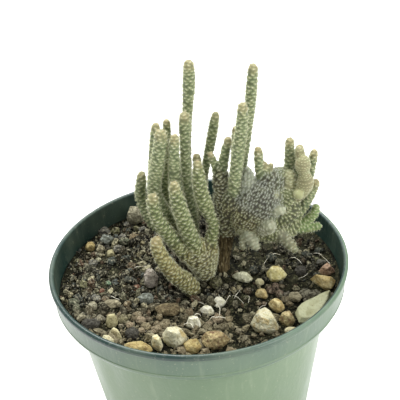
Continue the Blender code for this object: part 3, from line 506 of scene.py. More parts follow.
# Lumps as (x, y, width, kind of lava).
LUMPS = [
    (41.9, 3.8, 3.5, "ash"), (43.2, -13.8, 2.2, "dust"), (34.3, -12.9, 4.6, "porous"),
    (37.6, -13.4, 4.0, "porous"), (26, -11.8, 3.4, "mauve"), (27.8, -14.8, 3.2, "tan"),
    (28.6, -17.2, 2.3, "tan"), (34.2, -16.2, 2.2, "dust"),
    (5.5, -3.9, 4.6, "moss"), (25.2, -7.2, 3.2, "mauve"), (22.6, -7.4, 2.3, "tan"),
    (23.4, -9.6, 3.2, "mauve"), (28.2, -12.4, 2.4, "dust"), (20.6, -15.4, 1.9, "mauve"),
    (27.2, -7.8, 2.2, "tan"),
    # These near-black lumps fill the hollow behind the notch between the stems: dark things put where
    # there is only shade.
    (1.6, 26.6, 3.4, "shadow_black"), (4.6, 30.4, 3.6, "shadow_black"), (-0.6, 23.6, 2.8, "shadow_black"),
    (1.9, 31.6, 3.4, "shadow_black"), (-1.6, 28.2, 3.2, "shadow_black"), (-16.9, 39.4, 4.6, "umber"),
    (-19.6, -20.6, 3.6, "mauve"), (-17.4, -19.2, 2.8, "plum"), (-23.4, -22.2, 2.7, "mauve"),
    (-19.4, -25, 2.6, "mauve"), (-14.6, -25.4, 3.4, "mauve"), (-13.6, -19.6, 2.6, "umber"),
    (5.2, -21.4, 4.2, "mauve"), (8.4, -22.4, 3.2, "umber"), (2.2, -23.6, 2.6, "mauve"),
    (15.8, -8.3, 2.9, "brown"), (18.6, 2.5, 3.8, "slate"),
    (25, 8.4, 3.8, "slate"), (37.3, 9.2, 3.5, "slate"), (41.9, 10.9, 3.2, "slate"),
    (33, 3, 2.5, "dark"), (11.3, -28.6, 2.5, "ash"), (9.4, -24.6, 1.3, "pale"),
    (12.4, -18.3, 1.6, "pale"), (18.8, -15.3, 1.9, "brown"), (16.5, -20.5, 2.2, "pale"),
    (12.8, 2.7, 1.9, "tan"), (7.4, -17, 1.6, "dust"), (13.8, -34.9, 2.5, "slate"),
    (-25.8, 24.5, 4.4, "olive"), (-28.3, 21, 4.1, "ash"),
    (-21.7, 33, 2.9, "moss"), (-19.5, 31.6, 2.9, "ash"), (-25, 36.2, 3.2, "ash"),
    (-23.1, 9.6, 4.1, "brown"), (-18.7, 7, 3.2, "moss"), (-39, 0.4, 4.1, "moss"),
    (-42.1, -8.5, 4.4, "olive"), (-41, -12.6, 3.8, "olive"), (-34.8, -7.1, 3.8, "ash"),
    (-33.1, -2.3, 2.5, "red"), (-31.7, -7.3, 3.2, "brown"), (-30.8, 0.9, 2.2, "green"),
    (-21.4, -2.2, 2.9, "red"), (-33.1, -18.3, 3.8, "ash"), (-25.6, -18.4, 3.8, "moss"),
    (-21, -17.8, 4.1, "brown"), (-17.8, -23.7, 3.8, "umber"), (-16.8, -26.3, 2.5, "ash"),
    (-12, -22.7, 4.1, "brown"), (-24.3, -11.1, 2.9, "umber"), (-32.8, 6.7, 3.8, "dark"),
    (-37.6, 9.8, 4.1, "dark"), (-41.9, 14.6, 2.9, "moss"), (-26.2, -21.4, 1.9, "dust"),
    (-38.9, -14.4, 2.2, "ash"), (-29.2, 31.7, 3.5, "moss"), (-24.7, 14.6, 3.2, "slate"),
    (-34.9, 16.4, 2.4, "pale"), (-33.6, 32.2, 4.4, "ash"), (-22.3, 27.1, 4.2, "umber"),
    (-26.4, 28.4, 3.6, "ash"), (-36.6, 13.4, 3.4, "ash"), (-30.2, 13.4, 3.8, "slate"),
]


def broken(size, points, draw, rough):
    """The hull of points on an egg, with each corner then drawn in or out."""
    bm = bmesh.new()
    corners = []
    for corner in range(points):
        level = 1 - 2 * (corner + 0.5) / points
        turn = corner * 2.39996 + draw.uniform(-0.4, 0.4)
        ring = math.sqrt(1 - level * level)
        corners.append(bm.verts.new((ring * math.cos(turn), ring * math.sin(turn), level)))
    bmesh.ops.convex_hull(bm, input=corners)
    for vert in corners:
        reach = 0.5 * draw.uniform(1 - rough, 1 + 0.3 * rough)
        vert.co = Vector(vert.co[i] * size[i] * reach for i in range(3))
    return bm


def grain_shapes(name, count, points):
    """Broken grains about a millimetre across, to be repeated."""
    shapes = bpy.data.collections.new(name)
    for shape in range(count):
        draw = random.Random(300 + 31 * points + shape)
        size = (1.15, draw.uniform(0.6, 1.0), draw.uniform(0.45, 0.75))
        bm = broken(size, points, draw, GRAIN_ROUGHNESS)
        shapes.objects.link(bpy.data.objects.new("%s_%d" % (name, shape), mesh_of("grain", bm)))
    return shapes


scatter, given = new_tree("scattered grit", [
    ("Grains", "Collection", None), ("Shapes", "Int", 8), ("Spacing", "Float", 1.2),
    ("Density", "Float", 2.0), ("Common", "Float", 2.2),
    ("Smallest", "Float", 0.6), ("Largest", "Float", 1.6), ("Lift", "Float", 0.1),
    ("Seed", "Int", 1), ("Material", "Material", None)])
room = add(scatter, "InputNamedAttribute", {"Name": "room"}, data_type="FLOAT")
dots = add(scatter, "DistributePointsOnFaces", {
    "Mesh": given["Geometry"], "Distance Min": given["Spacing"], "Density Max": given["Density"],
    "Density Factor": room, "Seed": given["Seed"]}, distribute_method="POISSON")
shapes = add(scatter, "CollectionInfo", {
    "Collection": given["Grains"], "Separate Children": True, "Reset Children": True})
turn = add(scatter, "RandomValue", {
    0: (0, 0, 0), 1: (math.tau, math.tau, math.tau), "Seed": given["Seed"]}, data_type="FLOAT_VECTOR")
chance = add(scatter, "RandomValue", {"Seed": 5}, data_type="FLOAT")
# Small grains are far more common than large ones.
rare = add(scatter, "Math", {0: chance, 1: given["Common"]}, operation="POWER")
size = add(scatter, "MapRange", {
    "Value": rare, "To Min": given["Smallest"], "To Max": given["Largest"]})
last = add(scatter, "Math", {0: given["Shapes"], 1: 1.0}, operation="SUBTRACT")
which = add(scatter, "RandomValue", {4: 0, 5: last, "Seed": 9}, data_type="INT")
placed = add(scatter, "InstanceOnPoints", {
    "Points": dots, "Instance": shapes, "Pick Instance": True, "Instance Index": which,
    "Rotation": turn, "Scale": size})
lift = add(scatter, "Math", {0: size, 1: given["Lift"]}, operation="MULTIPLY")
lifted = add(scatter, "TranslateInstances", {
    "Instances": placed, "Translation": add(scatter, "CombineXYZ", {"Z": lift}), "Local Space": False})
tone = add(scatter, "RandomValue", {"Seed": 31}, data_type="FLOAT")
toned = add(scatter, "StoreNamedAttribute", {"Geometry": lifted, "Name": "tone", "Value": tone},
            data_type="FLOAT", domain="INSTANCE")
close_tree(scatter, toned, given["Material"])


def soil_tone_by_place(tree, mm, colour):
    """Darken the soil towards the right and back, and make it paler towards the front."""
    split = add(tree, "SeparateXYZ", {0: mm})
    slope = add(tree, "Math", {0: split.outputs["Y"], 1: 0.7, 2: split.outputs["X"]},
                operation="MULTIPLY_ADD")
    darker_right_back, dry = (
        add(tree, "MapRange", {"Value": along, "From Min": low, "From Max": high, "To Max": most},
            interpolation_type="SMOOTHSTEP")
        for along, low, high, most in ((slope, -2.0, 30.0, 0.42),
                                       (split.outputs["Y"], -8.0, -28.0, 0.6)))
    return layered(tree, colour, (dry, "8d8468"), (darker_right_back, "14160f"))


def grit_material(name, attribute):
    """Lava and pumice: porous and dull, dusted by the peat, each grain of its own colour."""
    made, tree, shader, mm = new_material(name, 0.92, 0.15)
    base = own = add(tree, "Attribute", attribute_name=attribute)
    if attribute == "tone":
        ramp = add(tree, "ValToRGB", {"Fac": own.outputs["Fac"]})
        ramp.color_ramp.interpolation = "CONSTANT"
        ramp.color_ramp.elements[0].color = linear(GRIT_TONES[0])
        ramp.color_ramp.elements[1].position = 1 - 1 / len(GRIT_TONES)
        ramp.color_ramp.elements[1].color = linear(GRIT_TONES[-1])
        for index, hex_colour in enumerate(GRIT_TONES[1:-1], start=1):
            ramp.color_ramp.elements.new(index / len(GRIT_TONES)).color = linear(hex_colour)
        base = ramp
    colour = soil_tone_by_place(tree, mm, layered(
        tree, base, (pattern(tree, mm, 0.9, 0.46, 0.62, 0.75), "1b1912"),
        (pattern(tree, mm, 0.75, 0.52, 0.64, 0.6, stretch=(1.1, 0.9, 1)), "a8a28a")))
    surface(tree, shader, colour, pattern(tree, mm, 0.8, 0.3, 0.7, detail=5), 0.6)
    return made


lava = grit_material("lava_grit", "tone")
taken_spots = STEM_FEET + [(x, y, 0.75 * reach) for x, y, reach in stone_spots]
taken_spots += [(x, y, 0.3 * width) for x, y, width, _ in LUMPS]
for name, shapes, points, spacing, density, common, smallest, largest, lift, seed, border in GRIT:
    grains = grain_shapes(name + "_shape", shapes, points)
    ground = new_object(name, soil.data.copy())
    room = []
    for vert in ground.data.vertices:
        x, y = vert.co.x, vert.co.y
        free = (vert.co.z > SOIL_TOP - 2.7 and math.hypot(x, y) < SOIL_EDGE - border
                and all(math.hypot(x - fx, y - fy) > fr + 0.3 * border for fx, fy, fr in taken_spots))
        peat_side = min(1.0, max(0.0, (x + 4) / 16))
        bare = any(math.hypot(x - bx, y - by) < br for bx, by, br in BARE_PEAT)
        room.append((1.0 - 0.6 * peat_side) * (0.3 if bare else 1.0) if free else 0.0)
    store(ground.data, "room", "FLOAT", room)
    run_tree(ground, scatter, Grains=grains, Shapes=shapes, Spacing=spacing, Density=density,
             Common=common, Smallest=smallest, Largest=largest, Lift=lift, Seed=seed, Material=lava)
    discard(grains)
    finish_piece(ground, "soil")

bm = bmesh.new()
shade = bm.verts.layers.float_color.new("shade")
for number, (x, y, width, kind) in enumerate(LUMPS):
    draw = random.Random(900 + number)
    size = (width * 1.15, width * draw.uniform(0.9, 1.1), width * draw.uniform(0.75, 0.95))
    lump = broken(size, LUMP_CORNERS, draw, LUMP_ROUGHNESS)
    bmesh.ops.subdivide_edges(lump, edges=lump.edges, cuts=3, use_grid_fill=True)
    bmesh.ops.smooth_vert(lump, verts=lump.verts, factor=0.5)
    turn = Matrix.Rotation(draw.uniform(0, math.tau), 3, "Z")
    base = Vector((x, y, SOIL_TOP + soil_height(x, y) + 0.2 * width))
    made = {}
    for vert in lump.verts:
        pit = noise.noise(vert.co * 1.7 + Vector((number, 3, 5)))
        swell = noise.noise(vert.co * 0.8 + Vector((2, number, 1)))
        crust = noise.noise(vert.co * 3.1 + Vector((7, 1, number)))
        grown = vert.co * (1.04 + 0.16 * swell - 0.2 * max(0.0, pit) + 0.08 * crust)
        made[vert] = bm.verts.new(base + turn @ grown)
        made[vert][shade] = linear(LAVA[kind])
    for face in lump.faces:
        bm.faces.new([made[vert] for vert in face.verts])
    lump.free()
lumps = new_object("lava_lumps", mesh_of("lava_lumps", bm))
lumps.data.shade_smooth()
lumps.data.materials.append(grit_material("lava_lump", "shade"))
finish_piece(lumps, "soil")
finish_piece(soil, "soil", "soil")


# Corky stalk. The old woody foot that carries the crested stem: dark brown cork over wood, split
# lengthwise, with pale fibres in the cracks. It grew so, and nothing fixes it.
STALK = [(8.2, 5.5, -3, 2.6), (8.2, 5.5, 0.5, 2.5), (8.7, 5.5, 6, 2.6), (9.6, 5.5, 11, 2.9),
         (10.2, 5.5, 16.2, 3.25), (10.25, 5.45, 20.5, 3.45)]


def curve_points(path, step):
    """Points along a smooth curve through the path, about one step apart, as (place, radius)."""
    ends = [tuple(2 * a - b for a, b in zip(path[0], path[1]))] + list(path)
    ends += [tuple(2 * a - b for a, b in zip(path[-1], path[-2]))]
    dense = []
    for p0, p1, p2, p3 in zip(ends, ends[1:], ends[2:], ends[3:]):
        for part in range(12):
            t = part / 12
            dense.append(tuple(
                0.5 * (2 * b + (c - a) * t + (2 * a - 5 * b + 4 * c - d) * t * t
                       + (3 * b - a - 3 * c + d) * t ** 3)
                for a, b, c, d in zip(p0, p1, p2, p3)))
    dense.append(tuple(path[-1]))
    lengths = [0.0]
    for a, b in zip(dense, dense[1:]):
        lengths.append(lengths[-1] + (Vector(b[:3]) - Vector(a[:3])).length)
    count = max(2, round(lengths[-1] / step))
    result = []
    place = 0
    for index in range(count + 1):
        target = lengths[-1] * index / count
        while place < len(lengths) - 2 and lengths[place + 1] < target:
            place += 1
        t = (target - lengths[place]) / (lengths[place + 1] - lengths[place])
        mixed = [u + (v - u) * t for u, v in zip(dense[place], dense[place + 1])]
        result.append((Vector(mixed[:3]) + Vector((0, 0, SOIL_TOP)), mixed[3]))
    return result


def stem_rings(path, step, dome=True):
    """Rings along a stem without twist, and over its round tip.

    Each is (place, radius, along, side, up, lean).
    """
    points = curve_points(path, step)
    rings = []
    side = None
    for index, (place, radius) in enumerate(points):
        before, after = points[max(0, index - 1)], points[min(len(points) - 1, index + 1)]
        along = (after[0] - before[0]).normalized()
        if side is None:
            side = along.cross(Vector((0, 1, 0)) if abs(along.y) < 0.9 else Vector((1, 0, 0)))
        side = (side - along * side.dot(along)).normalized()
        rings.append((place, radius, along, side, along.cross(side), 0.0))
    if not dome:
        return rings
    place, radius, along, side, up, _ = rings[-1]
    rings = [ring for ring in rings if (place - ring[0]).length > 0.45 * radius + 0.3 * step]
    steps = max(4, round(1.8 * radius / step))
    for index in range(steps):
        lean = math.pi / 2 * (index + 0.1) / steps
        centre = place + along * radius * (1.3 * math.sin(lean) - 0.45)
        rings.append((centre, radius * math.cos(lean), along, side, up, lean))
    return rings


def add_tube(bm, rings, sides, flatness=1.0, relief=None):
    """Add a closed tube through the rings; relief raises a corner by its place and angle."""
    made = []
    for place, radius, along, side, up, lean in rings:
        ring = []
        for corner in range(sides):
            angle = math.tau * corner / sides
            reach = radius + (relief(place, angle) if relief else 0.0)
            offset = (side * math.cos(angle) + up * math.sin(angle)) * reach
            offset.y *= flatness
            ring.append(bm.verts.new(place + offset))
        made.append(ring)
    join_rings(bm, made)
    bm.faces.new(list(reversed(made[0])))
    bm.faces.new(made[-1])


def cork_relief(place, angle):
    """Long ridges and cracks, broken up along the stalk."""
    spot = Vector((3 * math.cos(angle), 3 * math.sin(angle), place.z * 0.22))
    crack = abs(noise.noise(spot * 1.3 + Vector((4, 1, 2))))
    return 0.55 * noise.noise(spot * 0.6) + 0.8 * min(crack, 0.35) - 0.25


bm = bmesh.new()
add_tube(bm, stem_rings(STALK, 0.25, dome=False), 72, relief=cork_relief)
stalk = new_object("woody_stalk", mesh_of("woody_stalk", bm))
stalk.data.shade_smooth()

# Cork: dry, dull, dark in the cracks and paler on the worn ridges, with fibres along it.
cork, tree, shader, mm = new_material("old_cork", 0.95, 0.2)
colour = layered(
    tree, "3a301c", (pattern(tree, mm, 0.8, 0.35, 0.65, detail=5, stretch=(1, 1, 0.2)), "6f6243"),
    (pattern(tree, mm, 0.35, 0.54, 0.7, stretch=(1, 1, 0.08)), "a89b78"))
surface(tree, shader, colour, pattern(tree, mm, 0.4, 0.3, 0.7, detail=6, stretch=(1, 1, 0.15)), 0.3)
stalk.data.materials.append(cork)
finish_piece(stalk, "cork", "corky_stalk")


# Stems. Green cylindrical stems that branch low and end in round tips. Their skin is a quilt of
# small tubercles in spiral rows, each ending in a woolly areole with a fan of short white spines
# that lie flat on the skin. They grew as one body, so each stem is one closed skin.
VOXEL = 0.3              # mesh size of the skins
TUBE_STEP = 0.6
SIDES_PER_MM = 9         # sides of a tube for each millimetre of its radius
MARK_STEP = 0.8          # between the places of a stem that a skin's colours are looked up in
AT_A_TIME = 4000         # corners compared with those places at a time, to spare memory
TUBERCLE_HEIGHT = 0.24
TUBERCLE_REACH = 0.5     # from a tubercle's crest to the furrow
RIDGE_SHARE = 0.5        # length of a tubercle's crest, as a share of the way to the next areole
SPINE_LENGTH = 1.1
TIP_LENGTH = 2.6         # young growth at the end of a stem, tan rather than green
STEP = 0.2               # between the places along a stem that may carry a row of areoles
LARGEST_GAP = 0.7        # an areole further than this from the skin is left out
CELL = 1.6               # size of the cells in which near areoles are looked up
SLIM_TIP = 2.1           # largest end radius of a stem that ends in a round tip
# Every stem is a path of (x, y, height over the soil, radius), root to tip.
BRANCHED_STEM = [
    ("trunk", [(2, 1, -5, 2.8), (2, 1, 0.5, 2.9), (1.8, 0.5, 5, 4.0), (0.6, 0, 10, 5.0),
               (-0.4, -0.4, 13, 4.2)]),
    ("web", [(-6.8, -1.8, 16.2, 1.5), (-4.0, -1.8, 15.2, 2.3), (-0.6, -1.7, 14.4, 2.8),
             (2.8, -1.2, 14.4, 2.6), (4.8, -0.6, 14, 1.9)]),
    ("trunk", [(-5.4, -1.2, 12.2, 1.9), (-2.5, -1.3, 11.2, 2.9), (0.8, -1.2, 11, 3.3),
               (3.6, -0.6, 10.6, 2.8)]),
    ("trunk", [(-2.5, -0.8, 8.4, 2.2), (0.6, -0.9, 7.4, 3.4), (3.0, -0.4, 7, 3.0)]),
    ("web", [(1, 0.5, 6, 3.2), (-1, -1, 9.5, 3.1), (-4.5, -2, 14, 2.7), (-6.4, -2.5, 17, 2.5)]),
    ("arm", [(-4.5, -2, 14, 2.7), (-8.5, -3, 20.5, 2.3), (-11.8, -4, 28, 1.9), (-13, -4, 34, 1.8),
             (-12.6, -4, 38, 1.7)]),
    ("web", [(1.5, -0.5, 8, 3.2), (0, -1.7, 13, 2.85), (-0.7, -2.3, 15.6, 2.7)]),
    ("arm", [(0, -1.7, 13, 2.8), (-1.5, -3, 18.5, 2.5), (-3.5, -4, 27, 2.3), (-5, -5, 34.5, 2.1),
             (-5.8, -5, 42.5, 1.6)]),
    ("web", [(3, 0.5, 6, 3.2), (4.0, 0.5, 11, 2.8), (4.7, 0.5, 15, 2.2)]),
    ("arm", [(4.2, 0.5, 12, 2.5), (4.7, 0.5, 15, 2.1), (6, 0.5, 20.5, 1.6), (5.1, 0.3, 25, 1.75),
             (3.6, 0, 30, 2.2), (2.5, -0.6, 36, 2.1), (2.1, -1, 41.5, 1.85), (2.2, -1, 47, 1.3)]),
    ("arm", [(1.5, 2, 3.5, 2.6), (0, 5, 8, 2.9), (-3, 9, 13, 2.9), (-6, 12, 17.5, 2.1)]),
    ("finger", [(-1, 5, 9, 2.2), (-3.5, 4, 18, 2.2), (-4.3, 3, 26.5, 2.1), (-5.3, 3, 36, 2.1),
                (-5.1, 3, 47.5, 1.6), (-4.3, 3, 55, 1.4)]),
    ("finger", [(-1, 7, 11, 2.0), (-1.3, 8, 25, 2.0), (-2, 8, 35, 1.8), (-1.6, 8, 46, 1.5),
                (-1.1, 8, 55, 1.7), (-0.8, 8, 60, 1.6)]),
    ("finger", [(-3, 8, 12, 2.2), (-8, 7, 18, 2.3), (-10.2, 6, 24, 2.3), (-12.6, 5, 33.5, 2.1),
                (-10.8, 4, 43.5, 2.2), (-9, 4, 51, 2.1), (-8.7, 4, 56.5, 1.9)]),
    ("finger", [(-5, 11, 15, 1.9), (-10.5, 12, 20, 1.7), (-13, 12, 31, 1.5), (-11.7, 12, 44.5, 1.5),
                (-10.2, 12, 54.5, 1.4)]),
    ("finger", [(-5, 12, 15, 1.9), (-9, 14, 19.5, 1.7), (-9.5, 14, 29.5, 1.6), (-7.5, 14, 43, 1.3),
                (-6.8, 14, 54.5, 1.2)]),
    ("finger", [(-2, 10, 13, 2.0), (-1.6, 15, 21.5, 1.7), (-1.3, 16, 37.5, 1.4), (0, 16, 54.5, 1.5),
                (1.2, 16, 65, 1.9), (1.7, 16, 74, 1.7)]),
    ("finger", [(-6, 11, 14, 2.0), (-12.5, 10.5, 15, 1.9), (-16.4, 13, 20, 1.7),
                (-17.8, 15, 25.7, 1.7), (-17, 15, 31.5, 1.6), (-16.5, 15, 35, 1.3)]),
    ("finger", [(-2.6, 8, 13, 2.0), (0.9, 12, 26, 1.5), (2, 12, 36, 1.35), (2, 12, 42, 1.3)]),
    ("finger", [(-3, 9, 13, 1.8), (0.9, 12, 19.6, 1.5), (2.8, 14, 24.5, 1.3), (4.6, 14, 34.5, 1.2),
                (6.7, 14, 43.7, 1.5), (8.7, 14, 53, 1.4), (9.2, 14, 56, 1.2)]),
]
LOW_STEM = [
    ("low", [(-2.6, -6, -5, 2.7), (-2.8, -6, 0.5, 2.8), (-4.3, -6.4, 3.8, 2.9), (-8, -8, 8.7, 2.6),
             (-9.6, -8.5, 12, 2.45)]),
    ("sunlit", [(-8, -8, 8.7, 2.6), (-11.2, -9, 15.5, 2.3), (-12.8, -9, 21, 1.9),
                (-12.4, -9, 24.8, 1.7)]),
]
# The crested stem: a growing point that became a line makes a fan, with buds along its edge.
CRESTED_STEM = [
    ("face", [(14.5, 2.2, 18.5, 3.4), (17.5, 1.2, 22.5, 6.6), (20.8, 1.0, 28, 8.4),
              (23.8, 1.4, 33, 7.0), (25.5, 1.8, 36, 4.6)]),
    ("neck", [(10.2, 5.5, 14.6, 3.2), (10.3, 5.5, 17, 3.4), (10.2, 5.4, 21, 3.7),
              (9.5, 4.8, 31, 2.7), (9.3, 4.5, 37, 2.5), (9.3, 4.5, 40, 2.2)]),
    ("rib", [(10.8, 5, 21, 3.4), (12.5, 4, 26, 4.2), (14.5, 3, 31, 4.4), (17.8, 2, 36, 2.9)]),
    ("rib", [(22, 3, 28, 4.4), (26, 3, 33, 4.6), (27.8, 3, 37, 3.1)]),
    ("side", [(21, 2.4, 23.5, 4.4), (29.5, 2.5, 30, 4.7), (32.5, 3, 34.5, 3.3)]),
    ("shaded", [(20, 1.4, 21.5, 4.2), (29.4, 1, 23.7, 4.1), (33, 2, 28.4, 2.4)]),
    ("side", [(14, 3.4, 19.6, 3.4), (22, 0.8, 18.2, 4.0), (29, 0.5, 17.3, 3.5), (33, 1.5, 18.5, 2.4)]),
    ("finger", [(9, 4.6, 36, 1.5), (7.6, 4.4, 42, 1.15), (6.2, 4, 47, 0.9)]),
    ("finger", [(9.4, 4.5, 37, 1.7), (11, 4.2, 45.5, 1.4), (12.6, 4, 52, 1.2)]),
    ("neck", [(11, 4, 22, 2.4), (12.5, 1, 27.5, 2.1), (13.1, 0.7, 33, 1.9)]),
    ("finger", [(13.1, 0.7, 33, 1.9), (13.7, 0.5, 38, 1.85), (15, 0, 47.5, 1.9),
                (16.7, 0, 58, 1.8), (17.3, 0, 66, 1.5)]),
    ("finger", [(12, 6, 22, 2.2), (15.2, 9, 28, 1.4), (17.4, 10, 39.5, 1.15), (19, 10, 50.5, 1.3),
                (20.5, 10, 63, 1.7), (21.6, 10, 74, 1.5)]),
    ("finger", [(11, 6.5, 27, 1.6), (13.8, 8, 36, 1.2), (14.4, 8, 44.7, 1.1), (15, 8, 53.5, 1.0)]),
    ("peak", [(17.5, 1.5, 33, 3.0), (17.9, 0.5, 38, 2.3), (18, 0, 42.8, 0.9)]),
    ("finger", [(22.6, 2, 33, 1.7), (21.8, 2, 42, 1.45), (21.5, 2, 48.8, 1.3)]),
    ("finger", [(22.6, 2, 35, 1.5), (23.5, 2, 43.2, 1.1)]),
    ("finger", [(23, 2, 36, 1.6), (24.4, 2, 39.8, 1.3), (26, 2, 42.2, 1.0)]),
    ("lobe", [(29, 3.2, 32, 3.0), (29.6, 3, 37.5, 2.5)]),
    ("finger", [(30.8, 5, 31, 1.7), (31.6, 5, 40, 1.5), (32, 5, 49.6, 1.4)]),
    ("finger", [(33.5, 5.5, 30, 1.7), (34.5, 5.5, 38, 1.6), (35.3, 5.5, 46.4, 1.4)]),
    ("woolly", [(34.2, 1.2, 30.4, 2.2), (35.8, -0.4, 34.4, 2.6), (36.2, -1, 36.6, 2.6),
                (35.9, -0.8, 38.8, 1.9), (35.6, -0.8, 40.2, 1.8), (35.4, -0.9, 42.2, 2.5),
                (35.5, -0.9, 44.2, 2.3)]),
    ("woolly", [(35.2, 1.6, 40, 1.6), (34.8, 1.2, 44.6, 1.6), (34.5, 1, 48.2, 1.5)]),
    ("ripe", [(30.2, 2, 30, 2.6), (31.3, 1.4, 35, 2.3), (31.7, 1.2, 39.6, 1.8)]),
    ("finger", [(34.5, 4.5, 26, 1.7), (37, 6, 31, 1.7), (38.8, 6, 37, 1.4), (40, 6, 44, 1.3)]),
    ("finger", [(32.8, 2.4, 20.6, 1.7), (35.8, 2.8, 24.4, 1.55), (38.2, 3, 29, 1.5),
                (40.5, 3, 34.4, 1.4)]),
    ("bud", [(33.2, -0.5, 32.5, 1.4), (33.6, -3.4, 33.3, 1.4), (33.9, -5.2, 34.0, 1.7)]),
    ("pale", [(25, 0, 25.8, 1.9), (27, -3.6, 27.8, 1.65), (29.5, -4.4, 28.3, 1.35)]),
    ("ripe", [(26.3, 0, 32.4, 1.3), (26.6, -2.7, 33, 1.0)]),
    ("pale", [(21.5, -1, 20, 2.8), (24, -5.6, 23.3, 2.2)]),
    ("shaded", [(22.5, -1, 22, 2.4), (25, -3.6, 25.2, 1.6)]),
    ("side", [(29, 1, 17.2, 2.8), (31.6, 1.5, 17.2, 2.4)]),
    ("bright", [(30.6, 1.3, 17.2, 2.5), (33.4, 1.8, 17.2, 2.1), (37, 2, 19.4, 1.6),
                (39.5, 2, 22.4, 1.45), (40, 2, 25.6, 1.2)]),
    ("bright", [(31, 1, 17, 1.7), (36, 1, 17, 1.6), (41.6, 1, 17.6, 1.3)]),
    ("pale", [(27, -0.5, 18, 2.6), (29.8, -4, 15.5, 1.8), (32.4, -6, 12.6, 1.5)]),
    # The left hanging tip is a lighter copy of the pale growth: a painted highlight where it lies in
    # shade.
    ("silvery", [(17, -0.5, 18.5, 2.6), (19.7, -5.2, 13.9, 1.5)]),
    ("pale", [(15.6, 0.5, 18, 1.5), (15, -4, 13.2, 0.95)]),
]
FLATNESS = {"face": 0.68}
# Kinds of growth as (skin, furrow colour, which is painted shade in the creases between tubercles,
# from row to row, from areole to areole in a row, size of the spines, how far their comb is turned
# along the stem, and sways, share of silver, share of wool).
GROWTH = {
    "trunk": ("746d3c", "28230f", 1.0, 1.6, 1.15, 0.0, 0.6, 0.0, 0.0),
    "web": ("837d47", "38351b", 0.9, 1.35, 0.85, 0.0, 0.8, 0.0, 0.0),
    "arm": ("808b58", "454e2b", 1.15, 2.1, 1.0, 0.0, 0.25, 0.0, 0.0),
    "finger": ("838e64", "4e5939", 1.05, 1.6, 0.85, 0.0, 0.5, 0.0, 0.0),
    "low": ("867f49", "3f3b1e", 1.1, 2.0, 0.9, 0.0, 0.35, 0.0, 0.0),
    "sunlit": ("a59d67", "57522b", 1.1, 2.0, 0.85, 0.0, 0.35, 0.0, 0.0),
    "neck": ("5f5c3e", "201d11", 1.0, 1.5, 0.95, 0.3, 0.8, 0.3, 0.0),
    "face": ("595b46", "29251d", 0.95, 0.95, 0.95, 1.57, 0.75, 1.0, 0.0),
    "rib": ("676c4e", "303321", 1.05, 1.3, 0.95, 1.2, 0.7, 0.7, 0.0),
    "side": ("777e51", "3b4124", 0.95, 1.35, 0.75, 0.0, 0.6, 0.15, 0.0),
    "shaded": ("696f45", "2c311a", 0.95, 1.35, 0.75, 0.0, 0.6, 0.1, 0.0),
    "peak": ("959b87", "5c5f50", 1.0, 1.2, 0.8, 1.2, 0.7, 1.0, 0.3),
    "lobe": ("858d60", "454d2b", 0.95, 1.3, 0.7, 0.0, 0.5, 0.2, 0.2),
    "bright": ("84985f", "4f6437", 0.95, 1.3, 0.7, 0.0, 0.5, 0.3, 0.2),
    "ripe": ("a2a27c", "6b6b49", 0.95, 1.3, 0.65, 0.0, 0.5, 0.2, 0.3),
    # A lighter copy of the pale growth, painted light for the left hanging tip, which lies in shade.
    "silvery": ("d6dac0", "9ca083", 1.1, 1.4, 0.9, 0.0, 0.6, 0.5, 0.5),
    "pale": ("aeb197", "72765a", 1.1, 1.4, 0.9, 0.0, 0.6, 0.5, 0.5),
    "woolly": ("8b8762", "636041", 0.9, 0.9, 0.4, 0.0, 0.35, 0.0, 0.75),
    "bud": ("9d9e73", "86885a", 1.8, 1.8, 0.35, 0.0, 0.3, 0.0, 1.0),
}
BROWNED = ("625c36", "1e1a0c")    # the fan's foot, where the silver wool has worn off
WORN_HEIGHT = 40.5                # worn up to this height over the soil, less the slope times x
WORN_SLOPE = 0.6
WORN_FADE = 5.0          # height over which the wool gives out
# Growth without a young tip.
MATURE = ("trunk", "web", "neck", "face", "rib", "side", "peak", "lobe", "bright", "ripe",
          "shaded", "silvery", "pale", "woolly", "bud")


def to_tip(path):
    """Draw a slim stem's end back, so that its round tip reaches the last point of the path."""
    place, radius = Vector(path[-1][:3]), path[-1][3]
    if radius > SLIM_TIP:
        return path
    along = (place - Vector(path[-2][:3])).normalized()
    return path[:-1] + [(*(place - along * radius * 0.85), radius)]


def fan_folds(place, angle):
    """Shallow folds that run up the face of the fan."""
    return 0.32 * math.sin(11 * angle + 1.5 * noise.noise(place / 7))


def grow_skin(name, stems):
    """One smooth closed skin round all the stems of a plant."""
    bm = bmesh.new()
    for kind, path in stems:
        widest = max(point[3] for point in path)
        add_tube(bm, stem_rings(path, TUBE_STEP), max(16, round(widest * SIDES_PER_MM)),
                 FLATNESS.get(kind, 1.0), fan_folds if kind == "face" else None)
    skin = new_object(name, mesh_of(name, bm))
    fuse = skin.modifiers.new("Fuse", "REMESH")
    fuse.mode = "VOXEL"
    fuse.voxel_size = VOXEL
    even = skin.modifiers.new("Even", "SMOOTH")
    even.factor = 0.5
    even.iterations = 4
    return keep_evaluated(skin)


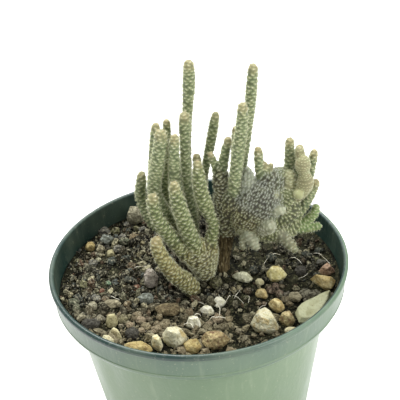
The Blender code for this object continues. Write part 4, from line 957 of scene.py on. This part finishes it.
def mark_skin(skin, stems):
    """Give the skin the colours of its kinds of growth, its young tips, silver and wool."""
    places, radii, squashed, kinds = [], [], [], []
    for kind, path in stems:
        points = curve_points(path, MARK_STEP)
        for place, radius in points:
            young = max(0.0, 1 - (points[-1][0] - place).length / TIP_LENGTH)
            young = 0.0 if kind in MATURE else young
            silver, wool = GROWTH[kind][7:]
            places.append(place)
            radii.append(radius)
            squashed.append(FLATNESS.get(kind, 1.0))
            kinds.append((*linear(GROWTH[kind][0]), *linear(GROWTH[kind][1]),
                          young, silver, max(wool, 0.7 * young)))
    places, kinds = numpy.array(places), numpy.array(kinds)
    corners = numpy.empty(len(skin.data.vertices) * 3)
    skin.data.vertices.foreach_get("co", corners)
    corners = corners.reshape(-1, 3)
    nearest = []
    for start in range(0, len(corners), AT_A_TIME):
        gaps = corners[start:start + AT_A_TIME, None, :] - places[None, :, :]
        gaps[:, :, 1] /= numpy.array(squashed)
        reach = numpy.sqrt((gaps ** 2).sum(axis=2))
        # The stem whose own skin is nearest counts, not the one whose middle is nearest.
        nearest.append((abs(reach - numpy.array(radii)) + 0.05 * reach).argmin(axis=1))
    marks = kinds[numpy.concatenate(nearest)]
    worn_to = SOIL_TOP + WORN_HEIGHT - WORN_SLOPE * corners[:, 0:1]
    worn = marks[:, 9:10] * numpy.clip((worn_to - corners[:, 2:3]) / WORN_FADE, 0, 1)
    browned = numpy.array([*linear(BROWNED[0]), *linear(BROWNED[1])])
    marks[:, 0:8] += (browned - marks[:, 0:8]) * worn
    marks[:, 9:10] -= worn
    for label, kind, first, last in (
            ("green", "FLOAT_COLOR", 0, 4), ("furrow", "FLOAT_COLOR", 4, 8),
            ("young", "FLOAT", 8, 9), ("silver", "FLOAT", 9, 10), ("wool", "FLOAT", 10, 11)):
        store(skin.data, label, kind, marks[:, first:last])


def place_areoles(name, skin, stems):
    """Rows of areoles on the skin, as points that know their outward and downward sides.

    A second object gives each areole's tubercle, as a short edge across the stem.
    """
    surface_tree = BVHTree.FromObject(skin, bpy.context.evaluated_depsgraph_get())
    draw = random.Random(41)
    taken, kept, ridges = {}, [], []
    for number, (kind, path) in enumerate(stems):
        _, _, rows_apart, apart, size, comb, sway, silver, wool = GROWTH[kind]
        clear = 0.66 * min(apart, math.hypot(apart / 2, rows_apart))
        rings = stem_rings(path, STEP)
        travelled, row = rows_apart * 0.5, 0
        for index, (ring, after) in enumerate(zip(rings, rings[1:])):
            place, radius, along, side, up, lean = ring
            travelled += math.hypot((after[0] - place).length, radius - after[1])
            if travelled < rows_apart:
                continue
            travelled -= rows_apart
            row += 1
            count = max(1, round(math.tau * radius / apart))
            for column in range(count):
                turn = math.tau * (column + 0.5 * (row % 2) + 0.3 * draw.uniform(-sway, sway)) / count
                out = side * math.cos(turn + number * 1.9) + up * math.sin(turn + number * 1.9)
                offset = out * radius
                offset.y *= FLATNESS.get(kind, 1.0)
                offset += along * rows_apart * draw.uniform(-0.45, 0.45) * sway
                hit, normal, _, distance = surface_tree.find_nearest(place + offset)
                if distance > LARGEST_GAP or hit.z < SOIL_TOP + 0.3:
                    continue
                cell = tuple(int(value // CELL) for value in hit)
                close = [other for dx in (-1, 0, 1) for dy in (-1, 0, 1) for dz in (-1, 0, 1)
                         for other in taken.get((cell[0] + dx, cell[1] + dy, cell[2] + dz), ())]
                if any((other - hit).length < clear for other in close):
                    continue
                taken.setdefault(cell, []).append(hit)
                young = max(0.0, 1 - (len(rings) - index) * STEP / TIP_LENGTH)
                turned_by = comb + draw.uniform(-sway, sway)
                worn_to = SOIL_TOP + WORN_HEIGHT - WORN_SLOPE * hit.x
                fresh = min(1.0, max(0.0, (hit.z - worn_to) / WORN_FADE + 1)) if silver > 0.6 else 1.0
                kept.append((hit + normal * TUBERCLE_HEIGHT * (0.9 - 0.6 * wool), normal, -along,
                             0.0 if kind in MATURE else young, silver * fresh,
                             size * (0.6 + 0.4 * fresh), turned_by))
                across = normal.cross(-along).normalized()
                across.rotate(Quaternion(normal, turned_by))
                half = across * RIDGE_SHARE / 2 * apart
                ridges += [hit - half, hit + half]
    mesh = bpy.data.meshes.new(name + "_ridges")
    mesh.from_pydata(ridges, [(i, i + 1) for i in range(0, len(ridges), 2)], [])
    ridged = new_object(name + "_ridges", mesh)
    mesh = bpy.data.meshes.new(name)
    mesh.from_pydata([tuple(item[0]) for item in kept], [], [])
    for position, label, kind in (
            (1, "outward", "FLOAT_VECTOR"), (2, "downward", "FLOAT_VECTOR"), (3, "young", "FLOAT"),
            (4, "silver", "FLOAT"), (5, "spine_size", "FLOAT"), (6, "comb_turn", "FLOAT")):
        store(mesh, label, kind, [item[position] for item in kept])
    return new_object(name, mesh), ridged


# Tubercles: the skin rises to a short ridge under each areole and dips between them.
tubercles, given = new_tree("tubercles", [
    ("Ridges", "Object", None), ("Height", "Float", TUBERCLE_HEIGHT),
    ("Reach", "Float", TUBERCLE_REACH), ("Material", "Material", None)])
ridges = add(tubercles, "ObjectInfo", {"Object": given["Ridges"]}).outputs["Geometry"]
near = add(tubercles, "Proximity", {0: ridges}, target_element="EDGES").outputs["Distance"]
close = add(tubercles, "MapRange", {
    "Value": near, "From Max": given["Reach"], "To Min": 1.0, "To Max": 0.0},
    interpolation_type="SMOOTHSTEP")
wool = add(tubercles, "InputNamedAttribute", {"Name": "wool"}, data_type="FLOAT")
tall = add(tubercles, "MapRange", {"Value": wool, "To Min": given["Height"], "To Max": 0.03})
rise = add(tubercles, "Math", {0: close, 1: tall}, operation="MULTIPLY")
push = add(tubercles, "VectorMath", {0: add(tubercles, "InputNormal"), "Scale": rise},
           operation="SCALE")
shape = add(tubercles, "StoreNamedAttribute", {
    "Geometry": given["Geometry"], "Name": "areole", "Value": close}, data_type="FLOAT", domain="POINT")
for label, kind in (("young", "FLOAT"), ("silver", "FLOAT"), ("wool", "FLOAT"),
                    ("green", "FLOAT_COLOR"), ("furrow", "FLOAT_COLOR")):
    raw = add(tubercles, "InputNamedAttribute", {"Name": label}, data_type=kind)
    even = add(tubercles, "BlurAttribute", {0: raw, "Iterations": 8}, data_type=kind)
    shape = add(tubercles, "StoreNamedAttribute", {"Geometry": shape, "Name": label, "Value": even},
                data_type=kind, domain="POINT")
quilted = add(tubercles, "SetPosition", {"Geometry": shape, "Offset": push})
close_tree(tubercles, quilted, given["Material"])

# Areoles: a low pad of wool with a comb of spines that lie flat on the skin, the longest of them
# to the sides and the shortest pointing down the stem.
spined, given = new_tree("spined areoles", [
    ("Spines", "Int", 8), ("Spine Length", "Float", SPINE_LENGTH), ("Spine Width", "Float", 0.062),
    ("Half Spread", "Float", math.radians(130)), ("Lowest", "Float", math.radians(8)),
    ("Highest", "Float", math.radians(58)), ("Pad", "Float", 0.15), ("Seed", "Int", 4),
    ("Material", "Material", None)])
needle = add(spined, "MeshCone", {
    "Vertices": 3, "Radius Top": 0.0, "Radius Bottom": given["Spine Width"],
    "Depth": given["Spine Length"]}, fill_type="NGON")
last = add(spined, "Math", {0: given["Spines"], 1: 1.0}, operation="SUBTRACT")
minus = add(spined, "Math", {0: given["Half Spread"], 1: -1.0}, operation="MULTIPLY")
number = add(spined, "InputIndex")
fan = add(spined, "MapRange", {
    "Value": number, "From Max": last, "To Min": minus, "To Max": given["Half Spread"]})
flat_x = add(spined, "Math", {0: fan}, operation="COSINE")
flat_y = add(spined, "Math", {0: fan}, operation="SINE")
raised = add(spined, "RandomValue", {
    2: given["Lowest"], 3: given["Highest"], "Seed": 12}, data_type="FLOAT")
lift = add(spined, "Math", {0: raised}, operation="SINE")
aim = add(spined, "CombineXYZ", {"X": flat_x, "Y": flat_y, "Z": lift})
row = add(spined, "MeshLine", {"Count": given["Spines"], "Offset": (0, 0, 0)})
pointing = add(spined, "AlignRotationToVector", {"Vector": aim}, axis="Z")
vary = add(spined, "RandomValue", {2: 0.7, 3: 1.15, "Seed": 2}, data_type="FLOAT")
sideways = add(spined, "Math", {0: flat_y}, operation="ABSOLUTE")
reach = add(spined, "MapRange", {"Value": sideways, "To Min": 0.5, "To Max": 1.0})
length = add(spined, "Math", {0: reach, 1: vary}, operation="MULTIPLY")
stretch = add(spined, "CombineXYZ", {"X": 1.0, "Y": 1.0, "Z": length})
comb = add(spined, "InstanceOnPoints", {
    "Points": row, "Instance": needle, "Rotation": pointing, "Scale": stretch})
pad = add(spined, "MeshCone", {
    "Vertices": 6, "Radius Top": 0.0, "Radius Bottom": given["Pad"], "Depth": 0.1},
    fill_type="NGON")
pad = add(spined, "Transform", {"Geometry": pad, "Scale": (0.7, 1.9, 1.0)})
cluster = add(spined, "JoinGeometry")
for piece in (comb, pad):
    feed(spined, cluster, {0: piece})
cluster = add(spined, "RealizeInstances", {0: cluster})
outward, downward, swing, own = (
    add(spined, "InputNamedAttribute", {"Name": label}, data_type=kind)
    for label, kind in (("outward", "FLOAT_VECTOR"), ("downward", "FLOAT_VECTOR"),
                        ("comb_turn", "FLOAT"), ("spine_size", "FLOAT")))
facing = add(spined, "AxesToRotation", {0: outward, 1: downward}, primary_axis="Z",
             secondary_axis="X")
about = add(spined, "CombineXYZ", {"Z": swing})
nudged = add(spined, "RotateRotation", {0: facing, 1: about}, rotation_space="LOCAL")
chance = add(spined, "RandomValue", {2: 0.85, 3: 1.12, "Seed": given["Seed"]}, data_type="FLOAT")
size = add(spined, "Math", {0: own, 1: chance}, operation="MULTIPLY")
on_skin = add(spined, "InstanceOnPoints", {
    "Points": given["Geometry"], "Instance": cluster, "Rotation": nudged, "Scale": size})
close_tree(spined, on_skin, given["Material"])


# Waxy living skin with a dull bloom: darker between tubercles, where painted shade fills the
# creases, paler at each areole, and more yellow in the old growth near the soil.
# The sheen stands for spines and wool too fine to model, which glow along the outline.
waxy, tree, shader, mm = new_material(
    "waxy_cactus_skin", 0.62, Subsurface_Weight=0.08, Subsurface_Scale=0.0012, Sheen_Weight=0.45,
    Sheen_Roughness=0.4, Sheen_Tint=linear("dcdcc4"))
fields = {label: add(tree, "Attribute", attribute_name=label).outputs
          for label in ("areole", "young", "silver", "wool", "green", "furrow")}
height = add(tree, "SeparateXYZ", {0: mm}).outputs["Z"]
level = add(tree, "Math", {0: height, 1: pattern(tree, mm, 6, 0.3, 0.7, 9.0)}, operation="ADD")
aged = add(tree, "MapRange", {
    "Value": level, "From Min": SOIL_TOP + 6, "From Max": SOIL_TOP + 30,
    "To Min": 0.45, "To Max": 0.0}, interpolation_type="SMOOTHSTEP")
young = add(tree, "MapRange", {"Value": fields["young"]["Fac"], "To Max": 0.75})
smooth = add(tree, "MapRange", {"Value": fields["wool"]["Fac"], "To Min": 0.85, "To Max": 0.2})
# The furrow mask lays painted shade into the creases between tubercles.
furrow, areole = (
    add(tree, "MapRange", {"Value": fields["areole"]["Fac"], "From Min": low, "From Max": high,
                           "To Min": first, "To Max": last}, interpolation_type="SMOOTHSTEP")
    for low, high, first, last in ((0.02, 0.36, smooth, 0.0), (0.55, 0.98, 0.0, 0.4)))
horn = layered(tree, "b9bd93", (fields["silver"]["Fac"], "a7aa9b"))
colour = layered(
    tree, fields["green"]["Color"], (aged, "88814a"),
    (pattern(tree, mm, 2.4, 0.42, 0.68, 0.28), "989f70"), (young, "aa9a72"),
    (furrow, fields["furrow"]["Color"]), (areole, horn),
    (pattern(tree, mm, 0.3, 0.4, 0.7, 0.18), fields["furrow"]["Color"]))
surface(tree, shader, colour, pattern(tree, mm, 0.22, 0.3, 0.7, detail=2), 0.05)


# Areole wool and spines: horn white, matt, tan where the growth is young.
spine_white, tree, shader, mm = new_material("areole_wool_and_spines", 0.7, 0.3)
young, silver = (add(tree, "Attribute", attribute_name=label).outputs["Fac"]
                 for label in ("young", "silver"))
half = add(tree, "MapRange", {"Value": young, "To Max": 0.6})
colour = layered(tree, "c9caa6", (pattern(tree, mm, 1.6, 0.4, 0.65), "dcdcc2"), (silver, "b4b8ab"),
                 (half, "bda888"))
surface(tree, shader, colour, pattern(tree, mm, 0.1, 0.3, 0.7, detail=1), 0.02)

for node, name, stems, slot in (
        ("branched_stem", "branched_skin", BRANCHED_STEM, "branched"),
        ("low_stem", "low_skin", LOW_STEM, "low"),
        ("crested_stem", "crested_skin", CRESTED_STEM, "crested")):
    stems = [(kind, to_tip(path)) for kind, path in stems]
    skin = grow_skin(name, stems)
    mark_skin(skin, stems)
    points, ridged = place_areoles(name.replace("skin", "areoles"), skin, stems)
    run_tree(skin, tubercles, Ridges=ridged, Material=waxy)
    bpy.data.objects.remove(ridged)
    skin.data.shade_smooth()
    run_tree(points, spined, Seed=4, Material=spine_white)
    finish_piece(skin, slot, node)
    finish_piece(points, slot)


# Root fibres. Thin dry roots and straws that lie over the grit, blown or watered loose, about
# 0.2 mm thick. Each is a bent line with both ends in the soil.
# Fibres as (first end, last end, height of the arch, radius).
FIBRES = [
    ((-6.5, -24.5), (-2.5, -28.0), 1.6, 0.112), ((-3.2, -21.6), (-0.4, -19.6), 2.2, 0.1),
    ((8.0, -13.6), (9.8, -10.8), 1.4, 0.098), ((-23.0, 8.0), (-15.0, 6.0), 1.6, 0.098),
    ((-30.0, -5.0), (-26.5, -8.5), 1.0, 0.084), ((-8.0, -33.5), (-12.5, -28.0), 1.2, 0.098),
    ((31.0, 8.0), (35.5, 4.0), 1.6, 0.084), ((38.9, 10.8), (45.1, 3.1), 1.4, 0.07),
    ((18.0, -18.0), (21.5, -14.5), 1.0, 0.084), ((-14.0, -22.0), (-19.0, -26.0), 1.0, 0.084),
    ((0.9, -23.6), (9.2, -22.4), 2.6, 0.105), ((4.9, -15.8), (5.1, -22.4), 2.4, 0.098),
    ((10.0, -6.2), (11.8, -9.2), 1.4, 0.07), ((11.8, -8.8), (10.7, -11.7), 1.2, 0.07),
    ((10.4, -10.2), (14.1, -14.2), 1.6, 0.07), ((13.3, -6.6), (11.2, -10.4), 1.2, 0.063),
    ((21.8, 5.9), (28.8, 10.9), 1.6, 0.07), ((14.6, -11.0), (15.4, -14.6), 1.0, 0.063),
    ((6.2, -9.4), (7.6, -13.0), 1.2, 0.07), ((-1.6, -12.4), (2.4, -14.8), 1.2, 0.07),
    ((33.0, -4.0), (36.6, -1.6), 1.0, 0.063), ((-9.6, -12.6), (-13.4, -15.4), 1.0, 0.07),
]
BENDS = 14               # stretches of each fibre

threads = bpy.data.curves.new("root_fibres", "CURVE")
threads.dimensions = "3D"
draw = random.Random(77)
for (x0, y0), (x1, y1), arch, width in FIBRES:
    line = threads.splines.new("POLY")
    line.points.add(BENDS)
    sway = draw.uniform(-1.4, 1.4)
    along = Vector((x1 - x0, y1 - y0))
    across = Vector((-along.y, along.x)).normalized()
    for index, point in enumerate(line.points):
        t = index / BENDS
        bow = math.sin(math.pi * t)
        x = x0 + along.x * t + across.x * sway * bow
        y = y0 + along.y * t + across.y * sway * bow
        z = SOIL_TOP + soil_height(x, y) + 0.35 + arch * bow - 0.6 * abs(2 * t - 1) ** 4
        point.co = (x, y, z, 1.0)
        point.radius = width
roots, given = new_tree("fibres", [("Thickness", "Float", 1.0), ("Material", "Material", None)])
even = add(roots, "ResampleCurve", {"Curve": given["Geometry"], "Count": 30})
ring = add(roots, "CurvePrimitiveCircle", {"Resolution": 6, "Radius": given["Thickness"]})
thick = add(roots, "CurveToMesh", {
    "Curve": even, "Profile Curve": ring, "Scale": add(roots, "InputRadius"), "Fill Caps": True})
close_tree(roots, thick, given["Material"])
# Dry root: straw coloured, dull, browner in places.
straw, tree, shader, mm = new_material("dry_root", 0.85)
surface(tree, shader, layered(tree, "e2decb", (pattern(tree, mm, 2.6, 0.5, 0.68), "b0a484")),
        pattern(tree, mm, 0.3, 0.3, 0.7), 0.05)
fibres = run_tree(new_object("dry_roots", threads), roots, Material=straw)
fibres.data.shade_smooth()
finish_piece(fibres, "soil")


# Studio. A plain white floor that runs out of the picture, daylight from all round, a broad soft
# light from above and behind on the left, a weaker one from the front, and the camera above.
# Lamps as (name, place, size, power); they aim at one place over the pot's foot.
LAMPS = [("window", (-0.12, 0.3, 0.78), 0.55, 11.0), ("front", (0.6, -0.45, 0.5), 0.5, 5.0)]
LIT_PLACE = Vector((0, 0, 0.1))
# The lens, the distance and the angles fit the ellipse of the pot's lip in the photograph.
FOCAL_SHARE = 2.75       # focal length as a share of the picture's side
SENSOR = 36.0
CAMERA_AWAY = 0.355
CAMERA_ANGLE = math.radians(33.0)
CAMERA_ROLL = math.radians(-4.12)
CAMERA_TARGET = Vector((0.0021, 0.0, 0.1077))

bm = bmesh.new()
bmesh.ops.create_grid(bm, x_segments=1, y_segments=1, size=3.0)
floor = new_object("floor", mesh_of("floor", bm))
paper, tree, shader, mm = new_material("white_paper", 0.9)
surface(tree, shader, layered(tree, "f6f6f4", (pattern(tree, mm, 40, 0.3, 0.7), "fbfbfa")),
        pattern(tree, mm, 1.5, 0.3, 0.7), 0.02)
floor.data.materials.append(paper)

scene = bpy.context.scene
world = bpy.data.worlds.new("daylight")
scene.world = world
world.use_nodes = True
sky = world.node_tree.nodes["Background"]
sky.inputs["Color"].default_value = (1.0, 1.0, 1.0, 1.0)
sky.inputs["Strength"].default_value = 0.7
for name, place, size, power in LAMPS:
    lamp = bpy.data.lights.new(name, "AREA")
    lamp.size = size
    lamp.energy = power
    lamp_object = new_object(name, lamp)
    lamp_object.location = place
    lamp_object.rotation_euler = (LIT_PLACE - Vector(place)).to_track_quat("-Z", "Y").to_euler()

camera_data = bpy.data.cameras.new("camera")
camera_data.sensor_width = SENSOR
camera_data.lens = FOCAL_SHARE * SENSOR
camera_data.clip_start = 0.01
camera = new_object("camera", camera_data)
camera.matrix_world = (
    Matrix.Translation(CAMERA_TARGET) @ Matrix.Rotation(math.pi / 2 - CAMERA_ANGLE, 4, "X")
    @ Matrix.Rotation(CAMERA_ROLL, 4, "Z") @ Matrix.Translation((0, 0, CAMERA_AWAY)))
scene.camera = camera
scene.view_settings.view_transform = "Standard"
scene.view_settings.look = "None"
